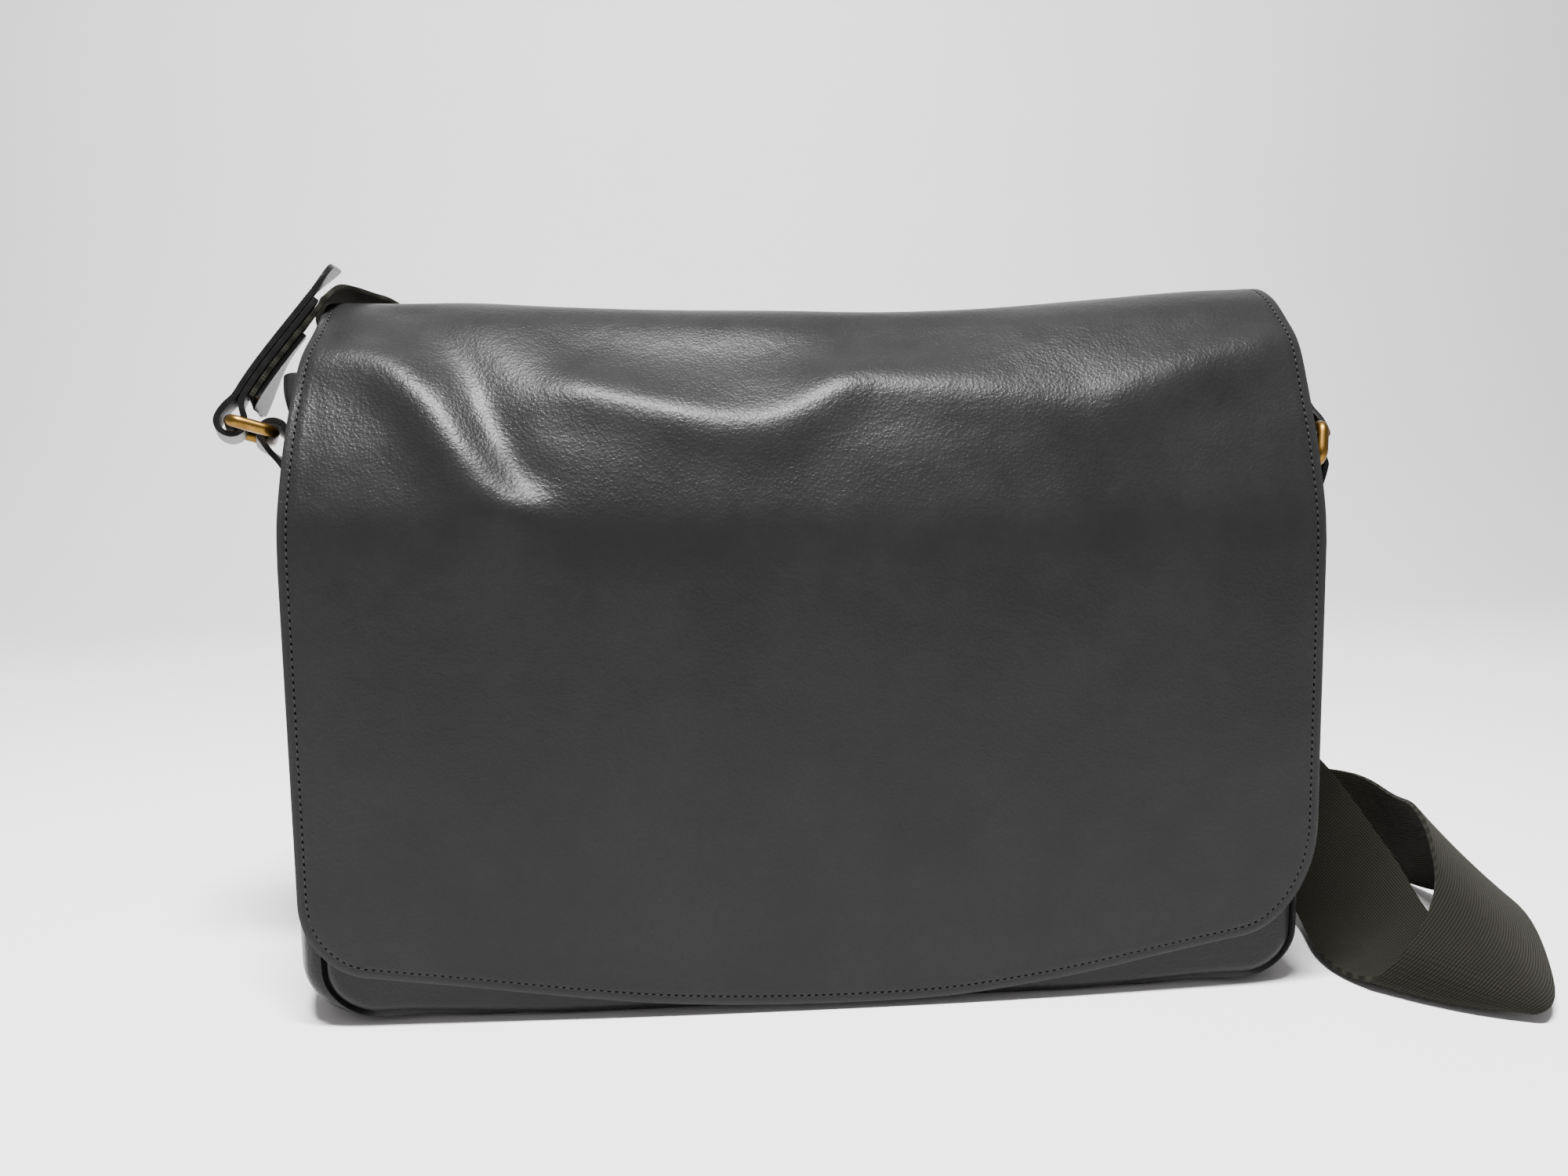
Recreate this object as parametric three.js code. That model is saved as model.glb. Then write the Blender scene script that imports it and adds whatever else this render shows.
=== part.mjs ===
// Leather messenger bag with a full front flap, two rectangular rings and a woven shoulder strap.
// Millimetres. +X to the bag's right as seen from the front, +Y to its back, +Z up.
// The origin is the middle of the base, on the floor.
import * as THREE from 'three';

// Driving dimensions
const FLAP_HALF_WIDTH = 200;
const FLAP_TAIL_SHARE = 0.98;
const FLAP_LEFT_PRESS = 2;
const FLAP_FRONT_Y = -62;
const FLAP_THICKNESS = 2.6;

const PANEL_HALF_WIDTH = 192;
const PANEL_THICKNESS = 2.2;
const PANEL_BOTTOM_Z = 3.4;
const PANEL_CORNER_RADIUS = 19;
const BACK_TOP_Z = 246;
const BACK_BASE_Y = 57;
const BACK_TOP_Y = 48;

const GUSSET_THICKNESS = 2.2;
const GUSSET_GAP = 0.4;
const GUSSET_TOP_Z = 254;
const GUSSET_TOP_DIP = 5;
const GUSSET_BACK_DROP = 12;
const GUSSET_BASE_BULGE = 0.8;
const GUSSET_LEFT_BULGE = 14;
const GUSSET_RIGHT_BULGE = 7;
const GUSSET_LEFT_LOW_BULGE = 3.7;
const GUSSET_RIGHT_LOW_BULGE = -1.7;
const GUSSET_LEFT_FLARE = 15;
const GUSSET_LEFT_RISE = 2.5;

const RING_LONG = 64;
const RING_SHORT = 21;
const RING_WIRE = 5;
const RING_CORNER = 4;

const STRAP_WIDTH = 50;
const WEBBING_THICKNESS = 1.9;
const END_WIDTH = 48;
const END_THICKNESS = 2.25;
const FACING_THICKNESS = 1.7;
const LAYER_PITCH = 2.65;
const LOOP_RADIUS = 5.2;
const END_NECK = 12;
const END_REACH = 83;
const END_RETURN = 66;
const FACING_START = 10;
const FACING_END = 54;
const FACING_CURL = 2.2;
const WEBBING_START = 14;
const TAB_WIDTH = 48;
const TAB_REACH = 52;
const TAB_PITCH = 2.7;
const TAB_NECK = 24;

const LEATHER = 0x3a3a3b;
const WEB = 0x2b2b24;
const BRASS = 0xb8913f;

// Small helpers
const vec = (x, y, z) => new THREE.Vector3(x, y, z);
const mix = (a, b, t) => a + (b - a) * t;
const clamp01 = (t) => Math.min(1, Math.max(0, t));
const smooth = (a, b, t) => {
  const k = clamp01((t - a) / (b - a));
  return k * k * (3 - 2 * k);
};

// Smooth curve through the rows of a table. The first column is the station, the rest are values.
function tableAt(rows, station) {
  const last = rows.length - 1;
  let k = 0;
  while (k < last - 1 && station > rows[k + 1][0]) k += 1;
  const before = rows[Math.max(0, k - 1)];
  const a = rows[k];
  const b = rows[k + 1];
  const after = rows[Math.min(last, k + 2)];
  const span = b[0] - a[0];
  const t = clamp01((station - a[0]) / span);
  const h = [2 * t ** 3 - 3 * t ** 2 + 1, t ** 3 - 2 * t ** 2 + t, 3 * t ** 2 - 2 * t ** 3, t ** 3 - t ** 2];
  const values = [];
  for (let c = 1; c < a.length; c += 1) {
    const slopeA = (b[c] - before[c]) / (b[0] - before[0]);
    const slopeB = (after[c] - a[c]) / (after[0] - a[0]);
    values.push(h[0] * a[c] + h[1] * slopeA * span + h[2] * b[c] + h[3] * slopeB * span);
  }
  return values;
}

// Closed solid from a list of points and triangles, turned so that it faces outward.
function solid(name, points, triangles, color, metalness = 0) {
  const a = vec();
  let volume = 0;
  for (const [i, j, k] of triangles) {
    volume += a.copy(points[i]).cross(points[j]).dot(points[k]);
  }
  const order = volume < 0 ? triangles.map(([i, j, k]) => [i, k, j]) : triangles;
  const geometry = new THREE.BufferGeometry();
  geometry.setAttribute('position', new THREE.Float32BufferAttribute(points.flatMap((p) => p.toArray()), 3));
  geometry.setIndex(order.flat());
  geometry.computeVertexNormals();
  const material = new THREE.MeshStandardMaterial({ color, metalness, roughness: metalness ? 0.35 : 0.6 });
  const mesh = new THREE.Mesh(geometry, material);
  mesh.name = name;
  return mesh;
}

// A wall of even thickness: a grid of points on one face, the other face set off along the normals.
function wall(name, grid, thickness, color, offset = 0) {
  const rows = grid.length;
  const cols = grid[0].length;
  const normals = grid.map((line, i) => line.map((_, j) => {
    const along = grid[Math.min(rows - 1, i + 1)][j].clone().sub(grid[Math.max(0, i - 1)][j]);
    const across = line[Math.min(cols - 1, j + 1)].clone().sub(line[Math.max(0, j - 1)]);
    return along.cross(across).normalize();
  }));
  const points = [];
  for (const shift of [offset, offset - thickness]) {
    grid.forEach((line, i) => line.forEach((p, j) => {
      points.push(p.clone().addScaledVector(normals[i][j], shift));
    }));
  }
  const at = (i, j, side) => side * rows * cols + i * cols + j;
  const triangles = [];
  const quad = (a, b, c, d) => triangles.push([a, b, c], [a, c, d]);
  for (let i = 0; i < rows - 1; i += 1) {
    for (let j = 0; j < cols - 1; j += 1) {
      quad(at(i, j, 0), at(i + 1, j, 0), at(i + 1, j + 1, 0), at(i, j + 1, 0));
      quad(at(i, j, 1), at(i, j + 1, 1), at(i + 1, j + 1, 1), at(i + 1, j, 1));
    }
  }
  for (let i = 0; i < rows - 1; i += 1) {
    quad(at(i, 0, 0), at(i, 0, 1), at(i + 1, 0, 1), at(i + 1, 0, 0));
    quad(at(i, cols - 1, 0), at(i + 1, cols - 1, 0), at(i + 1, cols - 1, 1), at(i, cols - 1, 1));
  }
  for (let j = 0; j < cols - 1; j += 1) {
    quad(at(0, j, 0), at(0, j + 1, 0), at(0, j + 1, 1), at(0, j, 1));
    quad(at(rows - 1, j, 0), at(rows - 1, j, 1), at(rows - 1, j + 1, 1), at(rows - 1, j + 1, 0));
  }
  return solid(name, points, triangles, color);
}

// Flap
// Side profile, hem break to back seam: station, left setback, left z, right setback, right z, sag share.
// Setback is the distance behind the front plane.
const FLAP_PROFILE = [
  [0, 0, 180, 0, 182, 0],
  [1, 1.6, 195, 1.4, 194, 0],
  [2, 6.5, 209, 5, 208, 0.1],
  [3, 15, 227, 12, 229, 0.3],
  [4, 28, 247, 24, 255, 0.6],
  [5, 45, 265.5, 37, 271.5, 0.85],
  [6, 63, 279.5, 51, 283, 1],
  [7, 81, 286.5, 68, 288.5, 1],
  [8, 97, 282, 89, 283, 0.8],
  [9, 109, 266, 107, 267, 0.4],
  [10, 114, 246, 113.8, 246, 0.1],
  [11, 114.6, 224, 114.6, 224, 0],
  [12, 115, 202, 115, 202, 0],
];
// How far the ridge line hangs below its two corners: x, drop.
const RIDGE_DROP = [
  [-200, 0],
  [-145, 0.7],
  [-104, 3.2],
  [-43, 5.2],
  [0, 6.4],
  [40, 7.4],
  [80, 6.4],
  [121, 3.5],
  [162, 1.2],
  [200, 0],
];
const FLAP_STEPS = [0, 0.6, 1, 1.5, 2, 2.5, 3, 3.5, 4, 4.5, 5, 5.5, 6, 6.5, 7, 7.5, 8, 8.5, 9, 9.5, 10, 11, 12];
const FLAP_FRONT_ROWS = 5;
// Folds and dents on the shoulder: x, station, half length, half breadth, lean, height (out is positive).
// Lean is the change of station per 100 mm of x along the fold.
const FLAP_FOLDS = [
  [-140, 3.6, 42, 0.55, -3.2, 5.0],
  [-108, 4.3, 40, 0.6, -3.4, -4.5],
  [-175, 4.6, 30, 0.8, -1.5, -2.0],
  [-60, 2.6, 46, 0.6, 0.4, 2.4],
  [-20, 4.2, 44, 0.9, 0.2, -4.0],
  [30, 3.0, 40, 0.6, 0.8, 2.6],
  [72, 4.4, 30, 0.8, 1.4, -3.2],
  [120, 3.4, 44, 0.6, 0.9, 2.0],
  [165, 4.3, 34, 0.9, -0.6, -2.2],
];

function foldHeight(x, station) {
  let height = 0;
  for (const [x0, station0, halfLength, halfBreadth, lean, rise] of FLAP_FOLDS) {
    const dx = (x - x0) / halfLength;
    const ds = (station - station0 - (lean * (x - x0)) / 100) / halfBreadth;
    height += rise * Math.exp(-dx * dx - ds * ds);
  }
  return height * smooth(0.6, 2, station) * (1 - smooth(6, 7.5, station));
}

// Lower edge of the flap: a shallow curve, x and z, that runs into two round corners of uneven size.
const HEM_CURVE = [
  [-176, 21.5],
  [-162, 19.6],
  [-135, 15.8],
  [-92, 9.5],
  [-58, 5.6],
  [-22, 3.6],
  [14, 3],
  [52, 4],
  [89, 8.3],
  [113, 12.4],
  [146, 18.9],
  [168, 23],
];
const HEM_LEFT = { start: 176, width: 24, height: 28, z: 21.5 };
const HEM_RIGHT = { start: 168, width: 32, height: 44, z: 23 };

function hemHeight(x) {
  const corner = x < 0 ? HEM_LEFT : HEM_RIGHT;
  const past = Math.abs(x) - corner.start;
  if (past <= 0) return tableAt(HEM_CURVE, x)[0];
  const k = Math.min(1, past / corner.width);
  return corner.z + corner.height * (1 - Math.sqrt(1 - k * k)) + 2.2 * Math.sin(k * 1.6);
}

function flapProfile(x, station) {
  const [leftBack, leftZ, rightBack, rightZ, sag] = tableAt(FLAP_PROFILE, station);
  const u = x / FLAP_HALF_WIDTH;
  const k = (u + 1) / 2;
  const droop = sag * tableAt(RIDGE_DROP, x)[0];
  return [FLAP_FRONT_Y + mix(leftBack, rightBack, k), mix(leftZ, rightZ, k) - droop];
}

function flapColumns() {
  const corner = ({ start, width }) => [90, 72, 54, 36, 18].map((deg) => start + width * Math.sin((deg * Math.PI) / 180));
  const columns = corner(HEM_LEFT).map((x) => -x);
  for (let i = 0; i <= 18; i += 1) columns.push(mix(-HEM_LEFT.start, HEM_RIGHT.start, i / 18));
  columns.push(...corner(HEM_RIGHT).reverse());
  return columns.reverse();
}

// The left edge is pressed in where the strap end leans on it.
function flapGrid() {
  const columns = flapColumns();
  const grid = [];
  for (let i = 0; i < FLAP_FRONT_ROWS; i += 1) {
    grid.push(columns.map((x) => {
      const top = flapProfile(x, 0)[1];
      const k = i / FLAP_FRONT_ROWS;
      return vec(x, FLAP_FRONT_Y, mix(hemHeight(x), top, k));
    }));
  }
  for (const station of FLAP_STEPS) {
    const share = mix(1, FLAP_TAIL_SHARE, smooth(8, 11, station));
    grid.push(columns.map((x) => {
      const [y, z] = flapProfile(x, station);
      const [y1, z1] = flapProfile(x, station + 0.05);
      const slope = vec(0, y1 - y, z1 - z).normalize();
      const lift = foldHeight(x, station);
      const press = FLAP_LEFT_PRESS * smooth(-150, -200, x) * Math.exp(-(((station - 5.6) / 1.2) ** 2));
      return vec(x * share + press, y - slope.z * lift, z + slope.y * lift);
    }));
  }
  return grid;
}

// Body: front and back panels
// Front panel profile: z, y of its outer face. It leans back under the flap's shoulder.
const FRONT_PROFILE = [
  [0, -56.5],
  [30, -57.2],
  [110, -57.6],
  [175, -57],
  [200, -53.5],
  [222, -44],
  [240, -32.2],
  [253, -22],
];
const FRONT_TOP_SAG = 10;
const frontY = (z) => tableAt(FRONT_PROFILE, z)[0];
const frontSag = (x, z) => FRONT_TOP_SAG * smooth(185, 253, z) * (1 - Math.abs(x / PANEL_HALF_WIDTH) ** 3);
const frontFace = (x, z) => frontY(z) + frontSag(x, z);
const backY = (z) => mix(BACK_BASE_Y, BACK_TOP_Y, smooth(20, BACK_TOP_Z, z));

// Half-width of a panel at a height: straight sides and round lower corners.
function panelHalf(z) {
  const up = z - PANEL_BOTTOM_Z;
  if (up >= PANEL_CORNER_RADIUS) return PANEL_HALF_WIDTH;
  const k = 1 - up / PANEL_CORNER_RADIUS;
  return PANEL_HALF_WIDTH - PANEL_CORNER_RADIUS * (1 - Math.sqrt(Math.max(0, 1 - k * k)));
}

function panelGrid(depthAt, topZ, direction) {
  const heights = [];
  for (let i = 0; i <= 6; i += 1) {
    heights.push(PANEL_BOTTOM_Z + PANEL_CORNER_RADIUS * (1 - Math.cos((i * Math.PI) / 12)));
  }
  const straight = topZ - PANEL_BOTTOM_Z - PANEL_CORNER_RADIUS;
  for (let i = 1; i <= 13; i += 1) heights.push(PANEL_BOTTOM_Z + PANEL_CORNER_RADIUS + (straight * i) / 13);
  const across = 10;
  return heights.map((z) => {
    const half = panelHalf(z);
    const line = [];
    for (let j = 0; j <= across; j += 1) {
      const x = direction * mix(-half, half, j / across);
      line.push(vec(x, depthAt(x, z), z));
    }
    return line;
  });
}

// Gusset: a strip that follows the panel outline, down the left side, along the base, up the right side.
function outlineStations() {
  const stations = [];
  const straightTop = GUSSET_TOP_Z;
  const cornerTop = PANEL_BOTTOM_Z + PANEL_CORNER_RADIUS;
  const sideRows = 11;
  const cornerRows = 6;
  const baseRows = 8;
  const flat = PANEL_HALF_WIDTH - PANEL_CORNER_RADIUS;
  for (let i = 0; i < sideRows; i += 1) {
    stations.push([-PANEL_HALF_WIDTH, mix(straightTop, cornerTop, i / sideRows), -1, 0]);
  }
  for (let i = 0; i < cornerRows; i += 1) {
    const a = (i / cornerRows) * (Math.PI / 2);
    const nx = -Math.cos(a);
    const nz = -Math.sin(a);
    stations.push([-flat + PANEL_CORNER_RADIUS * nx, cornerTop + PANEL_CORNER_RADIUS * nz, nx, nz]);
  }
  for (let i = 0; i <= baseRows; i += 1) {
    stations.push([mix(-flat, flat, i / baseRows), PANEL_BOTTOM_Z, 0, -1]);
  }
  for (let i = cornerRows - 1; i >= 0; i -= 1) {
    const a = (i / cornerRows) * (Math.PI / 2);
    const nx = Math.cos(a);
    const nz = -Math.sin(a);
    stations.push([flat + PANEL_CORNER_RADIUS * nx, cornerTop + PANEL_CORNER_RADIUS * nz, nx, nz]);
  }
  for (let i = sideRows - 1; i >= 0; i -= 1) {
    stations.push([PANEL_HALF_WIDTH, mix(straightTop, cornerTop, i / sideRows), 1, 0]);
  }
  return stations.reverse();
}

// Positions across the gusset from the front seam to the back seam, and the bulge share there.
const GUSSET_ACROSS = [
  [0, 0],
  [0.04, 0.3],
  [0.1, 1],
  [0.3, 1],
  [0.5, 1],
  [0.7, 1],
  [0.9, 1],
  [0.96, 0.3],
  [1, 0],
];

function gussetGrid() {
  const seat = GUSSET_GAP + GUSSET_THICKNESS;
  return outlineStations().map(([x, z, nx, nz]) => GUSSET_ACROSS.map(([k, share]) => {
    const low = (nx < 0 ? GUSSET_LEFT_LOW_BULGE : GUSSET_RIGHT_LOW_BULGE) * (1 - smooth(60, 140, z));
    const side = (nx < 0 ? GUSSET_LEFT_BULGE : GUSSET_RIGHT_BULGE) + low;
    const upper = 1 - 0.35 * smooth(150, 240, z);
    const round = share === 0 ? 0 : Math.sin(Math.PI * k) ** 0.45;
    const flare = nx < 0 ? GUSSET_LEFT_FLARE * Math.sin(Math.PI * k) ** 0.3 * (1 - k) * smooth(222, GUSSET_TOP_Z, z) : 0;
    const outX = nx * seat + Math.sign(nx) * (Math.abs(nx) ** 0.45 * side * upper * round + (round && flare));
    const outZ = nz * (seat + GUSSET_BASE_BULGE * share);
    const hollow = (nx < 0 ? 0.4 : 1) * GUSSET_TOP_DIP * Math.sin(Math.PI * k) - (nx < 0 ? GUSSET_LEFT_RISE * Math.sin(Math.PI * k) ** 0.5 : 0);
    const dip = (hollow + GUSSET_BACK_DROP * k) * smooth(215, GUSSET_TOP_Z, z);
    const y = mix(frontY(z), backY(z), k);
    return vec(x + outX, y, z + outZ - dip);
  }));
}

// Rings: round wire bent into a rounded rectangle. Centre, long axis and short axis of each.
const RINGS = {
  left: { centre: vec(-230.8, 6, 232.3), long: vec(-0.345, 0.938, -0.04), short: vec(-0.93, -0.33, 0.3) },
  right: { centre: vec(218.2, 7, 211.5), long: vec(-0.03, 0.94, -0.34), short: vec(0.2, 0.34, 0.92) },
};

function ringAxes({ centre, long, short }) {
  const l = long.clone().normalize();
  const s = short.clone().addScaledVector(l, -short.dot(l)).normalize();
  return { centre, long: l, short: s, normal: l.clone().cross(s) };
}

// Carrier row on one of a ring's long bars: side 1 is the strap's bar, side -1 the tab's bar.
function barRow(spec, side, turn) {
  const { centre, long, short } = ringAxes(spec);
  const at = centre.clone().addScaledVector(short, (side * (RING_SHORT - RING_WIRE)) / 2);
  return [...at.toArray(), ...long.clone().multiplyScalar(turn).toArray(), 0];
}

function ringMesh(name, spec) {
  const { centre, long, short, normal } = ringAxes(spec);
  const halfLong = (RING_LONG - RING_WIRE) / 2 - RING_CORNER;
  const halfShort = (RING_SHORT - RING_WIRE) / 2 - RING_CORNER;
  const path = [];
  const corners = [[1, 1, 0], [-1, 1, 90], [-1, -1, 180], [1, -1, 270]];
  for (const [sl, ss, start] of corners) {
    for (let i = 0; i <= 5; i += 1) {
      const a = ((start + i * 18) * Math.PI) / 180;
      path.push({ l: sl * halfLong + RING_CORNER * Math.cos(a), s: ss * halfShort + RING_CORNER * Math.sin(a), a });
    }
  }
  const sides = 10;
  const points = [];
  for (const { l, s, a } of path) {
    for (let j = 0; j < sides; j += 1) {
      const b = (j / sides) * Math.PI * 2;
      const r = (RING_WIRE / 2) * Math.cos(b);
      points.push(centre.clone()
        .addScaledVector(long, l + r * Math.cos(a))
        .addScaledVector(short, s + r * Math.sin(a))
        .addScaledVector(normal, (RING_WIRE / 2) * Math.sin(b)));
    }
  }
  const triangles = [];
  path.forEach((_, i) => {
    const next = (i + 1) % path.length;
    for (let j = 0; j < sides; j += 1) {
      const k = (j + 1) % sides;
      triangles.push([i * sides + j, next * sides + j, next * sides + k]);
      triangles.push([i * sides + j, next * sides + k, i * sides + k]);
    }
  });
  return solid(name, points, triangles, BRASS, 1);
}

// A carrier is a centre line with a direction across it: x, y, z, across x, across y, across z, bow.
// Bow lifts the middle of the strip off the straight line between its edges.
function carrier(rows) {
  const stations = [0];
  for (let i = 1; i < rows.length; i += 1) {
    const step = Math.hypot(rows[i][0] - rows[i - 1][0], rows[i][1] - rows[i - 1][1], rows[i][2] - rows[i - 1][2]);
    stations.push(stations[i - 1] + step);
  }
  const table = rows.map((row, i) => [stations[i], ...row]);
  const length = stations[stations.length - 1];
  const raw = (s) => tableAt(table, s);
  const frame = (s) => {
    const inside = Math.min(length, Math.max(0, s));
    const v = raw(inside);
    const ahead = raw(Math.min(length, inside + 0.5));
    const behind = raw(Math.max(0, inside - 0.5));
    const along = vec(ahead[0] - behind[0], ahead[1] - behind[1], ahead[2] - behind[2]).normalize();
    const across = vec(v[3], v[4], v[5]).normalize();
    const normal = along.clone().cross(across).normalize();
    const at = vec(v[0], v[1], v[2]).addScaledVector(along, s - inside);
    return { at, along, across, normal, bow: v[6] };
  };
  return { length, frame };
}

// Strip laid on a carrier. Path rows: station, offset along the normal, half-width, tilt of the far edge.
function strip(name, line, path, thickness, color, cuts = 2) {
  const grid = path.map(([s, offset, half, tilt = 0]) => {
    const { at, across, normal, bow } = line.frame(s);
    const row = [];
    for (let j = 0; j <= cuts; j += 1) {
      const u = (2 * j) / cuts - 1;
      row.push(at.clone()
        .addScaledVector(across, u * half)
        .addScaledVector(normal, offset + tilt * u + bow * (1 - u * u)));
    }
    return row;
  });
  return wall(name, grid, thickness, color, thickness / 2);
}

// Half-width of a strip near a rounded tip.
function tipHalf(half, fromTip, radius) {
  if (fromTip >= radius) return half;
  const k = 1 - fromTip / radius;
  return half - radius * (1 - Math.sqrt(Math.max(0, 1 - k * k)));
}

const TIP_STEPS = [0, 0.6, 2, 4, 7, 10];
const TIP_RADIUS = 10;

// Folded end: outer leg from its free tip, round the ring's bar, and back along the return leg.
// The two legs close up at the neck.
function foldedEnd(reach, back, half, outer, inner, neck) {
  const path = [];
  const bend = [0.25, 0.5, 0.75, 1].map((k) => k * neck);
  for (const s of TIP_STEPS) path.push([reach - s, outer, tipHalf(half, s, TIP_RADIUS)]);
  for (let s = reach - 18; s > neck + 4; s -= 9) path.push([s, outer, half]);
  for (const s of [...bend].reverse()) path.push([s, mix(LOOP_RADIUS, outer, smooth(0, neck, s)), half]);
  for (let deg = 90; deg <= 270; deg += 22.5) {
    const a = (deg * Math.PI) / 180;
    path.push([LOOP_RADIUS * Math.cos(a), LOOP_RADIUS * Math.sin(a), half]);
  }
  for (const s of bend) path.push([s, mix(-LOOP_RADIUS, inner, smooth(0, neck, s)), half]);
  for (let s = neck + 8; s < back - 4; s += 9) path.push([s, inner, half]);
  path.push([back, inner, half]);
  return path;
}

// Strap ends: from the ring's bar to the free tip, bent most near the bar. The tip itself turns a little.
// The line runs between the two legs. The webbing lies below them, and the facing below the webbing.
const END_SHARES = [0, 0.08, 0.18, 0.32, 0.48, 0.64, 0.76, 0.81, 1];
const END_CAMBER = 3.6;
const WEBBING_DEPTH = -1.5 * LAYER_PITCH;
const FACING_DEPTH = WEBBING_DEPTH - 2.18;
const STRAP_TIPS = {
  left: {
    turn: 1, tip: vec(-198.4, 29.4, 305.1), across: vec(-0.28, 0.947, 0.158),
    bend: vec(2.2, 0, -0.6), twist: vec(0.12, 0, -0.06),
  },
  right: {
    turn: -1, tip: vec(208.5, 64.3, 270.2), across: vec(0.02, -0.66, 0.75), bend: vec(), twist: vec(),
  },
};
function endRows(side, depth = 0) {
  const { turn, tip, across: tipAcross, bend, twist } = STRAP_TIPS[side];
  const bar = barRow(RINGS[side], 1, turn);
  const from = vec(...bar.slice(0, 3));
  const fromAcross = vec(...bar.slice(3, 6));
  const run = tip.clone().sub(from);
  return END_SHARES.map((k) => {
    const across = fromAcross.clone().lerp(tipAcross, k);
    const rise = END_CAMBER * Math.sin(Math.PI * k ** 0.6) * (1 - 0.6 * k) + depth;
    const lift = run.clone().cross(across).normalize().multiplyScalar(rise);
    const free = k === 1 ? 1 : 0;
    const at = from.clone().addScaledVector(run, k).add(lift).addScaledVector(bend, free);
    return [...at.toArray(), ...across.addScaledVector(twist, free).toArray(), 0];
  });
}

// Free run of the strap: over the upper left corner, down behind the back to the lower right,
// round the loop on the floor at the right, and up behind the right side.
const FREE_ROWS = [
  [-203.7, 33.5, 293.0, -0.42, 0.9, 0.03, 0],
  [-202.7, 40.3, 291.8, -0.58, 0.81, -0.02, 0],
  [-201.7, 45.5, 290.1, -0.7, 0.71, -0.05, 0],
  [-199.8, 53.0, 286.9, -0.8, 0.55, -0.14, 0],
  [-194.5, 59.5, 277.5, -0.86, 0.35, -0.3, 0],
  [-184.5, 65.0, 257.8, -0.84, 0.18, -0.5, 0],
  [-160.0, 74.0, 226.0, -0.76, 0.1, -0.64, 0],
  [-118.0, 82.0, 190.0, -0.64, 0.08, -0.76, 0],
  [-60.0, 90.0, 156.0, -0.56, 0.06, -0.82, 0],
  [25.0, 96.0, 116.0, -0.52, 0.02, -0.85, 0],
  [120.0, 100.0, 64.0, -0.42, 0.02, -0.9, 0],
  [205.0, 102.0, 35.0, -0.2, 0.04, -0.98, 0],
  [265.0, 98.0, 26.2, -0.04, 0.08, -1.0, 0],
  [295.0, 74.5, 25.6, 0.12, 0.02, -0.99, 0],
  [300.0, 33.0, 26.6, 0.37, -0.11, -0.92, 0],
  [294.0, -6.0, 36.2, 0.66, -0.08, -0.75, 0],
  [285.0, -38.0, 33.0, 0.78, -0.13, -0.61, 0],
  [269.0, -70.0, 23.0, 0.73, -0.4, -0.56, 2],
  [251.0, -87.5, 13.0, 0.81, -0.48, -0.3, 4],
  [242.0, -81.0, 4.9, 0.84, -0.54, -0.02, 3],
  [239.0, -42.0, 10.8, 0.96, -0.09, 0.26, 2],
  [246.0, 1.0, 21.5, 0.81, -0.12, 0.58, 0],
  [235.0, 34.0, 51.0, 0.81, -0.08, 0.58, 0],
  [216.0, 72.0, 80.0, 0.87, -0.1, 0.48, 0],
  [202.0, 103.0, 118.0, 0.95, -0.1, 0.27, 0],
  [193.0, 121.0, 164.0, 0.98, -0.05, 0.1, 0],
  [189.0, 124.0, 212.0, 0.98, 0.15, 0.05, 0],
  [192.0, 114.0, 250.0, 0.9, 0.42, 0.0, 0],
  [197.0, 92.8, 271.8, 0.75, 0.0, -0.66, 0],
  [202.4, 71.8, 271.3, 0.1, 0.53, -0.84, 0],
];
const flipAcross = ([x, y, z, ax, ay, az, bow]) => [x, y, z, -ax, -ay, -az, bow];
const strapLine = carrier([
  ...endRows('left', WEBBING_DEPTH).slice(0, -1),
  ...FREE_ROWS,
  ...endRows('right', WEBBING_DEPTH).slice(0, -1).reverse().map(flipAcross),
]);
const leftEnd = carrier(endRows('left'));
const rightEnd = carrier(endRows('right'));

function webbingPath() {
  const path = [];
  const first = WEBBING_START;
  const last = strapLine.length - WEBBING_START;
  const steps = 110;
  for (let i = 0; i <= steps; i += 1) path.push([mix(first, last, i / steps), 0, STRAP_WIDTH / 2]);
  return path;
}

const endPath = () => foldedEnd(END_REACH, END_RETURN, END_WIDTH / 2, LAYER_PITCH / 2, -LAYER_PITCH / 2, END_NECK);

// Facing: its lower tip curls away from the strap.
function facingPath() {
  const half = END_WIDTH / 2;
  const row = (s, width) => {
    const curl = FACING_CURL * (1 - smooth(FACING_START, FACING_START + 32, s));
    return [s, FACING_DEPTH - curl, width, -curl];
  };
  const path = TIP_STEPS.map((s) => row(FACING_START + s, tipHalf(half, s, TIP_RADIUS)));
  for (let s = FACING_START + 16; s <= FACING_END; s += 6) path.push(row(s, half));
  return path;
}

// Ring tabs: from the ring's bag-side bar down to the gusset.
const TAB_LEFT = carrier([
  barRow(RINGS.left, -1, 1),
  [-215.0, 8.0, 219.5, -0.22, 0.97, 0, 0],
  [-209.2, 7.0, 208.0, -0.08, 0.99, 0, 0],
  [-209.9, 6.5, 194.0, 0, 1, 0, 0],
  [-211.0, 6.0, 180.0, 0, 1, 0, 0],
]);
const TAB_RIGHT = carrier([
  barRow(RINGS.right, -1, 1),
  [213.0, 1.5, 193.0, -0.02, 0.95, -0.3, 0],
  [207.0, -0.5, 181.0, 0, 0.97, -0.24, 0],
  [204.9, -2.0, 168.0, 0, 0.98, -0.18, 0],
  [205.0, -3.5, 154.0, 0, 0.99, -0.14, 0],
]);

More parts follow.
